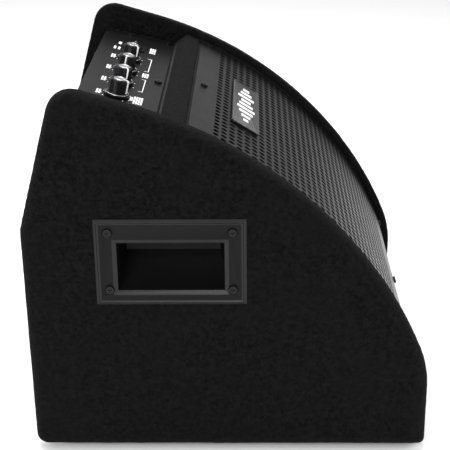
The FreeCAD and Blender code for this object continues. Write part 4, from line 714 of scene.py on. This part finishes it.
def scoop(sizes, grow, start):
    """Draw the chosen face inwards in steps, with a floor that curves up to the back."""
    reach = sizes.grip_depth + grow + start
    for index in range(SCOOP_STEPS):
        share = (index + 1) / SCOOP_STEPS
        bpy.ops.mesh.extrude_region_move(TRANSFORM_OT_translate={"value": (0, 0, -reach / SCOOP_STEPS)})
        lift = sizes.grip_rise * (1 - math.cos(share * math.pi / 2))
        fit(sizes.grip_length + 2 * grow - SCOOP_TAPER * share ** 3, sizes.grip_low - grow + lift,
            sizes.grip_high + grow - ROOF_TAPER * share ** 3)


class WEDGE_OT_grips(Step):
    """Moulded grips: a raised lip, a face with screw seats, a bevelled opening and a curved scoop"""
    bl_idname = "wedge.grips"
    bl_label = "Grips"

    def make(self, sizes, look):
        low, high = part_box("left_handle")
        wide, tall = high.x - low.x, high.z - low.z
        grip = block("grip", (wide, tall, FLANGE_BASE), (0, 0, FLANGE_BASE / 2))
        with edit(grip):
            choose(lambda f: f.normal.z > FACING)
            bpy.ops.mesh.inset(thickness=LIP_RISE, depth=LIP_RISE)
            bpy.ops.mesh.inset(thickness=LIP_FLAT, depth=0.0)
            bpy.ops.mesh.inset(thickness=LIP_INSIDE, depth=-LIP_FALL)
            bpy.ops.mesh.inset(thickness=0.002, depth=0.0)
            fit(sizes.grip_length + 2 * sizes.grip_bevel, sizes.grip_low - sizes.grip_bevel,
                sizes.grip_high + sizes.grip_bevel)
            bpy.ops.mesh.inset(thickness=sizes.grip_bevel, depth=-sizes.grip_bevel * BEVEL_FALL)
            scoop(sizes, 0.0, -0.0009)
        with edit(grip):
            choose(lambda f: f.normal.z < -FACING and f.calc_center_median().z < 0.0001
                   and f.calc_area() > wide * tall / 2)
            bpy.ops.mesh.inset(thickness=0.002, depth=0.0)
            fit(sizes.grip_length + 2 * SHELL_WALL, sizes.grip_low - SHELL_WALL, sizes.grip_high + SHELL_WALL)
            scoop(sizes, SHELL_GROW, 0.0)
        for across in (-1, 1):
            for rise in SEAT_RISES:
                seat = primitive(bpy.ops.mesh.primitive_cylinder_add, "screw_seat", vertices=32,
                                 radius=SEAT_RADIUS, depth=SEAT_DEPTH,
                                 location=(SEAT_ACROSS * across, rise, SEAT_MIDDLE))
                modify(grip, "BOOLEAN", operation="DIFFERENCE", object=seat, solver="EXACT")
                bpy.data.objects.remove(seat)
        grip.data.materials.append(finish("black_plastic"))
        # painted highlight: the tilted bevel faces get a plastic 4.5 times lighter than the base, standing in
        # for the light that the gloss catches on the bevels
        grip.data.materials.append(extra_finish("polished_edge", lambda look: moulded(
            "polished_edge", tint(look.plastic, 4.5), 0.30, 0.0007, 0.00008)))
        for face in grip.data.polygons:
            face.material_index = int(0.3 < face.normal.z < 0.95 and face.center.z > -0.004)
        modify(grip, "BEVEL", width=0.0004, segments=2, limit_method="ANGLE", angle_limit=math.radians(30))
        for side, sign in SIDES:
            centre = Matrix.Translation(((low.x + high.x) / 2, HALF_WIDTH * sign, (low.z + high.z) / 2))
            facing = Matrix(((-sign, 0, 0), (0, 0, sign), (0, 1, 0))).to_4x4()
            twin = copy_of(grip, side + "_grip", centre @ facing)
            hand_over(twin, "cabinet", "black_plastic", side + "_handle", angle=38)
        bpy.data.objects.remove(grip)


# ---- grille --------------------------------------------------------------------------------------

def hole_cell(sizes):
    """One six-sided cell of the sheet with its round hole."""
    cell = primitive(bpy.ops.mesh.primitive_circle_add, "hole_cell", vertices=12, radius=sizes.hole / 2)
    corner = sizes.hole_pitch / math.sqrt(3)
    with edit(cell, "EDGE"):
        bpy.ops.mesh.select_all(action="SELECT")
        bpy.ops.mesh.extrude_region_move()
        grow = corner / (sizes.hole / 2)
        bpy.ops.transform.resize(value=(grow, grow, 1))
        bpy.ops.mesh.select_mode(type="VERT")
        choose(lambda v: v.co.length > corner * 0.99
               and round(math.degrees(math.atan2(v.co.y, v.co.x)) / 30) % 2, "verts")
        bpy.ops.transform.resize(value=(math.sqrt(0.75), math.sqrt(0.75), 1))
        bpy.ops.mesh.select_all(action="SELECT")
        bpy.ops.mesh.normals_make_consistent(inside=False)
    if cell.data.polygons[0].normal.z < 0:
        with edit(cell):
            bpy.ops.mesh.select_all(action="SELECT")
            bpy.ops.mesh.flip_normals()
    return cell


def hole_field(sizes):
    """The perforated part of the grille, bent to the bow."""
    field = hole_cell(sizes)
    field.name = field.data.name = "hole_field"
    column = sizes.hole_pitch * math.sqrt(0.75)
    pitch = sizes.hole_pitch
    merged = dict(use_relative_offset=False, use_constant_offset=True, use_merge_vertices=True,
                  merge_threshold=0.00002)
    modify(field, "ARRAY", count=sizes.hole_rows, constant_offset_displace=(0, pitch, 0), **merged)
    modify(field, "ARRAY", count=2, constant_offset_displace=(column, pitch / 2, 0), **merged)
    modify(field, "ARRAY", count=sizes.hole_pairs, constant_offset_displace=(column * 2, 0, 0), **merged)
    modify(field, "SOLIDIFY", thickness=0.0009, offset=-1.0)
    width = sizes.hole_rows * pitch + pitch / 2
    reach = (sizes.field_top - sizes.field_low) * sizes.bow_radius
    run = 2 * sizes.hole_pairs * column
    for corner in field.data.vertices:
        down = (corner.co.x + column / 2) * reach / run
        across = corner.co.y + pitch / 2 - width / 2
        angle = sizes.field_top - down / sizes.bow_radius
        radius = sizes.bow_radius - 0.00015 + corner.co.z
        corner.co = (sizes.bow_x + radius * math.cos(angle), across, sizes.bow_z + radius * math.sin(angle))
    return field


def trimmed(piece, spot, normal):
    """Cut a closed shell along a plane, and keep the side that the normal points away from."""
    with edit(piece):
        bpy.ops.mesh.select_all(action="SELECT")
        bpy.ops.mesh.bisect(plane_co=spot, plane_no=normal, use_fill=True, clear_outer=True)
    return piece


def radial(sizes, angle, sign):
    """A point and a normal of the plane through the bow's axis at an angle."""
    return ((sizes.bow_x, 0, sizes.bow_z), (-math.sin(angle) * sign, 0, math.cos(angle) * sign))


class WEDGE_OT_grille(Step):
    """Curved steel grille: a field of round holes inside a plain border"""
    bl_idname = "wedge.grille"
    bl_label = "Grille"

    def make(self, sizes, look):
        field = hole_field(sizes)
        low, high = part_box("grille")
        lap = 0.002 / sizes.bow_radius
        blank = copy_of_node("grille", "grille_blank")
        top = trimmed(copy_of(blank, "grille_top"), *radial(sizes, sizes.field_top - lap, -1))
        foot = trimmed(copy_of(blank, "grille_foot"), *radial(sizes, sizes.field_low + lap, 1))
        sides = []
        for name, sign in SIDES:
            edge = (0, (high.y - sizes.margin) * sign, 0)
            strip = trimmed(copy_of(blank, "grille_%s" % name), edge, (0, -sign, 0))
            trimmed(strip, *radial(sizes, sizes.field_top - lap, 1))
            sides.append(trimmed(strip, *radial(sizes, sizes.field_low + lap, -1)))
        bpy.data.objects.remove(blank)
        front = one("front_grille", [field, top, foot, *sides])
        hand_over(front, "cabinet", "black_steel", "grille", angle=40)


# ---- badge ---------------------------------------------------------------------------------------

BADGE_CORNER, BADGE_RIM, BADGE_STEP, BADGE_FALL = 0.004, 0.0012, 0.0005, 0.0007
LEVELS = (0.006, 0.011, 0.017, 0.022, 0.017, 0.012, 0.020, 0.014, 0.008)
LEVEL_PITCH, LEVEL_WIDTH, LEVEL_RISE, LEVEL_SUNK = 0.0135, 0.0062, 0.0011, 0.0002


class WEDGE_OT_badge(Step):
    """Rounded badge plate with a rim and a row of raised level bars"""
    bl_idname = "wedge.badge"
    bl_label = "Badge"

    def make(self, sizes, look):
        plate = block("badge", (sizes.badge_height, sizes.badge_width, sizes.badge_plate),
                      (0, 0, sizes.badge_plate / 2))
        with edit(plate, "EDGE"):
            choose(lambda e: abs((e.verts[0].co - e.verts[1].co).z) > sizes.badge_plate / 2, "edges")
            bpy.ops.mesh.bevel(offset=BADGE_CORNER, segments=6)
        with edit(plate):
            choose(lambda f: f.normal.z > FACING)
            bpy.ops.mesh.inset(thickness=BADGE_RIM, depth=0)
            bpy.ops.mesh.inset(thickness=BADGE_STEP, depth=-BADGE_FALL)
        modify(plate, "BEVEL", width=0.0003, segments=2, limit_method="ANGLE", angle_limit=math.radians(50))
        plate.data.materials.append(finish("badge_plastic"))
        pieces = [plate]
        white = extra_finish("screen_ink", screen_ink)
        for index, tall in enumerate(LEVELS):
            across = (index - (len(LEVELS) - 1) / 2) * LEVEL_PITCH
            bar = block("level_bar", (tall, LEVEL_WIDTH, LEVEL_RISE),
                        (0, across, sizes.badge_plate - LEVEL_SUNK))
            modify(bar, "BEVEL", width=0.0004, segments=2)
            bar.data.materials.append(white)
            pieces.append(bar)
        badge = one("badge", pieces)
        place(badge, bow_frame(sizes.badge_angle))
        hand_over(badge, "cabinet", "badge_plastic", "badge_plate")


# ---- control panel -------------------------------------------------------------------------------

KNOB_SIDES = 48
SKIRT_TALL, SKIRT_MIDDLE, SKIRT_EDGE, SKIRT_RISE, SKIRT_SLOPE = 0.0022, 0.0019, 0.0008, 0.0007, 0.0002
GRIP_BASE, CROWN_IN, CROWN_UP = 0.0055, 0.0011, 0.0010
FLUTE_FROM, FLUTE_EDGE, FLUTE_SHARE, FLUTE_CYCLE = 0.0045, 0.0003, 0.91, 4
HOLLOW_RADIUS, HOLLOW_TALL = 0.0078, 0.0058
CAP_RADIUS, CAP_TALL, CAP_EDGE, CAP_RISE, CAP_RIM, CAP_DISH = 0.0064, 0.0012, 0.0008, 0.0003, 0.0012, 0.0005
RING_INSET, RING_THICK, RING_RISE = 0.0012, 0.00045, 0.0036
LINE_WIDTH, LINE_LONG, LINE_AT, LINE_TALL = 0.0013, 0.0052, 0.0065, 0.0005
POINTER_DEEP, POINTER_FOOT, POINTER_BASE = 0.0022, 0.0050, 0.0046
LINE_LIFT = 0.0001


class WEDGE_OT_knobs(Step):
    """Fluted knobs with a skirt, a turned cap and a white pointer"""
    bl_idname = "wedge.knobs"
    bl_label = "Knobs"

    def make(self, sizes, look):
        skirt, body, tall = sizes.knob_skirt, sizes.knob_radius, sizes.knob_height
        knob = primitive(bpy.ops.mesh.primitive_cylinder_add, "knob", vertices=KNOB_SIDES, radius=skirt,
                         depth=SKIRT_TALL, location=(0, 0, SKIRT_MIDDLE))
        place(knob, Matrix.Identity(4))
        with edit(knob):
            choose(lambda f: f.normal.z > FACING)
            bpy.ops.mesh.inset(thickness=SKIRT_EDGE, depth=SKIRT_RISE)
            bpy.ops.mesh.inset(thickness=skirt - body - SKIRT_EDGE, depth=SKIRT_SLOPE)
            bpy.ops.mesh.extrude_region_move(TRANSFORM_OT_translate={"value": (0, 0, tall - GRIP_BASE)})
            bpy.ops.mesh.inset(thickness=CROWN_IN, depth=CROWN_UP)
            bpy.ops.mesh.select_mode(type="VERT")
            choose(lambda v: v.co.z > FLUTE_FROM and v.co.xy.length > body - FLUTE_EDGE
                   and round(math.degrees(math.atan2(v.co.y, v.co.x)) / (360 / KNOB_SIDES)) % FLUTE_CYCLE < 2,
                   "verts")
            bpy.ops.transform.resize(value=(FLUTE_SHARE, FLUTE_SHARE, 1), center_override=(0, 0, 0))
        with edit(knob):
            choose(lambda f: f.normal.z < -FACING)
            bpy.ops.mesh.inset(thickness=skirt - HOLLOW_RADIUS, depth=0)
            bpy.ops.mesh.extrude_region_move(TRANSFORM_OT_translate={"value": (0, 0, HOLLOW_TALL)})
        modify(knob, "BEVEL", width=0.00025, segments=2, limit_method="ANGLE", angle_limit=math.radians(35))
        knob.data.materials.append(finish("knob_plastic"))
        cap = primitive(bpy.ops.mesh.primitive_cylinder_add, "knob_cap", vertices=KNOB_SIDES, radius=CAP_RADIUS,
                        depth=CAP_TALL, location=(0, 0, tall - CAP_TALL / 2))
        place(cap, Matrix.Identity(4))
        with edit(cap):
            choose(lambda f: f.normal.z > FACING)
            bpy.ops.mesh.inset(thickness=CAP_EDGE, depth=CAP_RISE)
            bpy.ops.mesh.inset(thickness=CAP_RIM, depth=-CAP_DISH)
        cap.data.materials.append(extra_finish("turned_alloy", lambda look: turned_metal(
            "turned_alloy", tuple(look.alloy), 0.30, (1, 1, 9), 0.0006)))
        rim = primitive(bpy.ops.mesh.primitive_torus_add, "skirt_ring", major_radius=skirt - RING_INSET,
                        minor_radius=RING_THICK, major_segments=KNOB_SIDES, minor_segments=8,
                        location=(0, 0, RING_RISE))
        place(rim, Matrix.Identity(4))
        rim.data.materials.append(FINISHES["turned_alloy"])
        pointer = block("knob_pointer", (POINTER_DEEP, LINE_WIDTH, tall - POINTER_FOOT),
                        (body - LINE_LIFT, 0, (tall + POINTER_BASE) / 2))
        line = block("knob_line", (LINE_LONG, LINE_WIDTH, LINE_TALL), (LINE_AT, 0, tall + LINE_LIFT))
        for bar in (pointer, line):
            modify(bar, "BEVEL", width=0.0002, segments=2)
            bar.data.materials.append(extra_finish("screen_ink", screen_ink))
        pattern = one("knob", [knob, cap, rim, pointer, line])
        for name, across, turn in KNOBS:
            twin = copy_of(pattern, name + "_dial",
                           panel_frame(sizes.knob_row, across, 0.0, math.radians(turn)))
            hand_over(twin, name, "knob_plastic", name + "_knob")
        bpy.data.objects.remove(pattern)


INK = 0.00012
DOT_RING, DOTS, DOT_RADIUS = 0.0158, 11, 0.0007
PLAIN_BARS = ((0.0180, 0.101, 0.0026, 0.0110), (0.0230, 0.101, 0.0026, 0.0110),
              (0.0220, 0.124, 0.0034, 0.0100), (0.0545, -0.078, 0.0030, 0.0120))
SCALE_ROW, SCALE_SHIFT, SCALE_BAR, SCALE_STEPS = 0.0200, 0.002, (0.0020, 0.0140, INK), (-0.0014, 0.0014)
BAR_BLOCKS = ((0.0612, 0.119, 0.022, 3), (0.0612, 0.014, 0.016, 3), (0.0615, -0.080, 0.024, 4))
BLOCK_PITCH, BLOCK_BAR = 0.0025, 0.0018
BRACKETS = ((0.0565, 0.053), (-0.025, 0.046))
BRACKET_LINE, BRACKET_ROW, BRACKET_END, BRACKET_END_ROW = 0.0009, 0.0630, 0.0044, 0.0608


class WEDGE_OT_panel_marks(Step):
    """Scale dots round the knobs, and plain bars and brackets printed on the control panel"""
    bl_idname = "wedge.panel_marks"
    bl_label = "Panel Marks"

    def make(self, sizes, look):
        marks = []
        dot = primitive(bpy.ops.mesh.primitive_cylinder_add, "scale_dot", vertices=10, radius=DOT_RADIUS,
                        depth=INK)
        with edit(dot):
            choose(lambda f: f.normal.z > FACING)
            bpy.ops.mesh.inset(thickness=0.0002, depth=0.00002)
        for _, across, _ in KNOBS:
            for index in range(DOTS):
                angle = math.radians(30 + index * 30)
                along, beside = DOT_RING * math.cos(angle), DOT_RING * math.sin(angle)
                marks.append(copy_of(dot, "scale_dot", Matrix.Translation(
                    (sizes.knob_row + along, across + beside, INK / 2))))
            for row in SCALE_STEPS:
                marks.append(block("scale_bar", SCALE_BAR, (SCALE_ROW + row, across + SCALE_SHIFT, INK / 2)))
        bpy.data.objects.remove(dot)
        bars = list(PLAIN_BARS)
        for along, across, wide, rows in BAR_BLOCKS:
            for row in range(rows):
                bars.append((along + (row - (rows - 1) / 2) * BLOCK_PITCH, across, BLOCK_BAR, wide))
        for along, across, deep, wide in bars:
            marks.append(block("panel_bar", (deep, wide, INK), (along, across, INK / 2)))
        for across, wide in BRACKETS:
            marks.append(block("bracket", (BRACKET_LINE, wide, INK), (BRACKET_ROW, across, INK / 2)))
            for end in (-1, 1):
                marks.append(block("bracket_end", (BRACKET_END, BRACKET_LINE, INK),
                                   (BRACKET_END_ROW, across + end * (wide - BRACKET_LINE) / 2, INK / 2)))
        printed = one("panel_marks", marks)
        place(printed, panel_frame(0, 0))
        hand_over(printed, "cabinet", "black_steel", material=extra_finish("screen_ink", screen_ink))


# ---- everything else -----------------------------------------------------------------------------

class WEDGE_OT_node_finishes(Step):
    """The finish of each slot, on the pieces that come from the frame"""
    bl_idname = "wedge.node_finishes"
    bl_label = "Frame Finishes"

    def make(self, sizes, look):
        for part in frame["record"]["subparts"]:
            mesh = NODES[part["node"]].data
            mesh.materials.clear()
            mesh.materials.append(finish(part["material_slot"]))


CAMERA_SPOT = (0.024393, -1.22453, 0.686135)
CAMERA_AHEAD = (-0.0238222, 0.92124297, -0.3882575)
CAMERA_RIGHT = (0.99970984, 0.02056547, -0.01254192)
LENS, SENSOR, FAR = 93.6, 36, 50
AIR = 0.6
FLOOR, FLOOR_SHIFT = 12, 1.5
LAMPS = (("top_light", (-0.15, 0.35, 1.9), (0.0, 0.0, 0.25), 1.4, 34),
         ("front_light", (1.6, -0.5, 1.1), (0.1, 0.0, 0.2), 0.9, 16),
         ("side_light", (-0.7, -1.9, 1.2), (0.0, -0.2, 0.2), 0.9, 30),
         ("back_light", (-1.5, 1.2, 1.3), (-0.1, 0.0, 0.3), 0.8, 12))


class WEDGE_OT_stage(Step):
    """Pale floor, soft lights and the camera"""
    bl_idname = "wedge.stage"
    bl_label = "Studio"

    def make(self, sizes, look):
        floor = primitive(bpy.ops.mesh.primitive_plane_add, "studio_floor", size=FLOOR,
                          location=(0, FLOOR_SHIFT, CAD_BOX[0][2]))
        place(floor, Matrix.Identity(4))
        paper = Finish("studio_paper", Specular_IOR_Level=0.1)
        cloud = paper.noise(0.6, 2.0)
        paper.paint(Base_Color=paper.blend(cloud, tint(look.floor, 0.985), tuple(look.floor)),
                    Roughness=cloud * 0.1 + 0.85)
        floor.data.materials.append(paper.material)
        world = bpy.data.worlds.new("studio_air")
        world.use_nodes = True
        world.node_tree.nodes["Background"].inputs[0].default_value = (1.0, 1.0, 1.0, 1.0)
        world.node_tree.nodes["Background"].inputs[1].default_value = AIR
        bpy.context.scene.world = world
        for name, spot, aim, size, power in LAMPS:
            clear()
            bpy.ops.object.light_add(type="AREA", location=spot)
            lamp = bpy.context.object
            lamp.name = name
            lamp.data.shape = "SQUARE"
            lamp.data.size = size
            lamp.data.energy = power
            lamp.rotation_euler = (Vector(aim) - Vector(spot)).to_track_quat("-Z", "Y").to_euler()
        clear()
        bpy.ops.object.camera_add()
        camera = bpy.context.object
        camera.name = "studio_camera"
        camera.data.sensor_width = SENSOR
        camera.data.lens = LENS
        camera.data.clip_end = FAR
        ahead = Vector(CAMERA_AHEAD).normalized()
        right = Vector(CAMERA_RIGHT).normalized()
        over = right.cross(ahead)
        turn = Matrix((right, over, -ahead)).transposed().to_4x4()
        camera.matrix_world = Matrix.Translation(CAMERA_SPOT) @ turn
        bpy.context.scene.camera = camera
        bpy.context.scene.view_settings.view_transform = "Standard"
        bpy.context.scene.view_settings.look = "None"


STEPS = (WEDGE_OT_stage, WEDGE_OT_node_finishes, WEDGE_OT_side_covers, WEDGE_OT_body_covers, WEDGE_OT_feet,
         WEDGE_OT_grips, WEDGE_OT_grille, WEDGE_OT_badge, WEDGE_OT_knobs, WEDGE_OT_panel_marks)


class WEDGE_PT_panel(bpy.types.Panel):
    bl_idname = "WEDGE_PT_panel"
    bl_label = "Stage Monitor Wedge"
    bl_space_type = "VIEW_3D"
    bl_region_type = "UI"
    bl_category = "Wedge"

    def draw(self, context):
        column = self.layout.column()
        for step in STEPS:
            column.operator(step.bl_idname)
        for group in (context.scene.wedge_sizes, context.scene.wedge_colours):
            for name in group.__annotations__:
                column.prop(group, name)


CLASSES = (WedgeSizes, WedgeColours, *STEPS, WEDGE_PT_panel)


def register():
    for item in CLASSES:
        bpy.utils.register_class(item)
    bpy.types.Scene.wedge_sizes = PointerProperty(type=WedgeSizes)
    bpy.types.Scene.wedge_colours = PointerProperty(type=WedgeColours)


def unregister():
    del bpy.types.Scene.wedge_colours
    del bpy.types.Scene.wedge_sizes
    for item in reversed(CLASSES):
        bpy.utils.unregister_class(item)


def main():
    register()
    for step in STEPS:
        group, name = step.bl_idname.split(".")
        getattr(getattr(bpy.ops, group), name)()


if __name__ == "__main__":
    main()
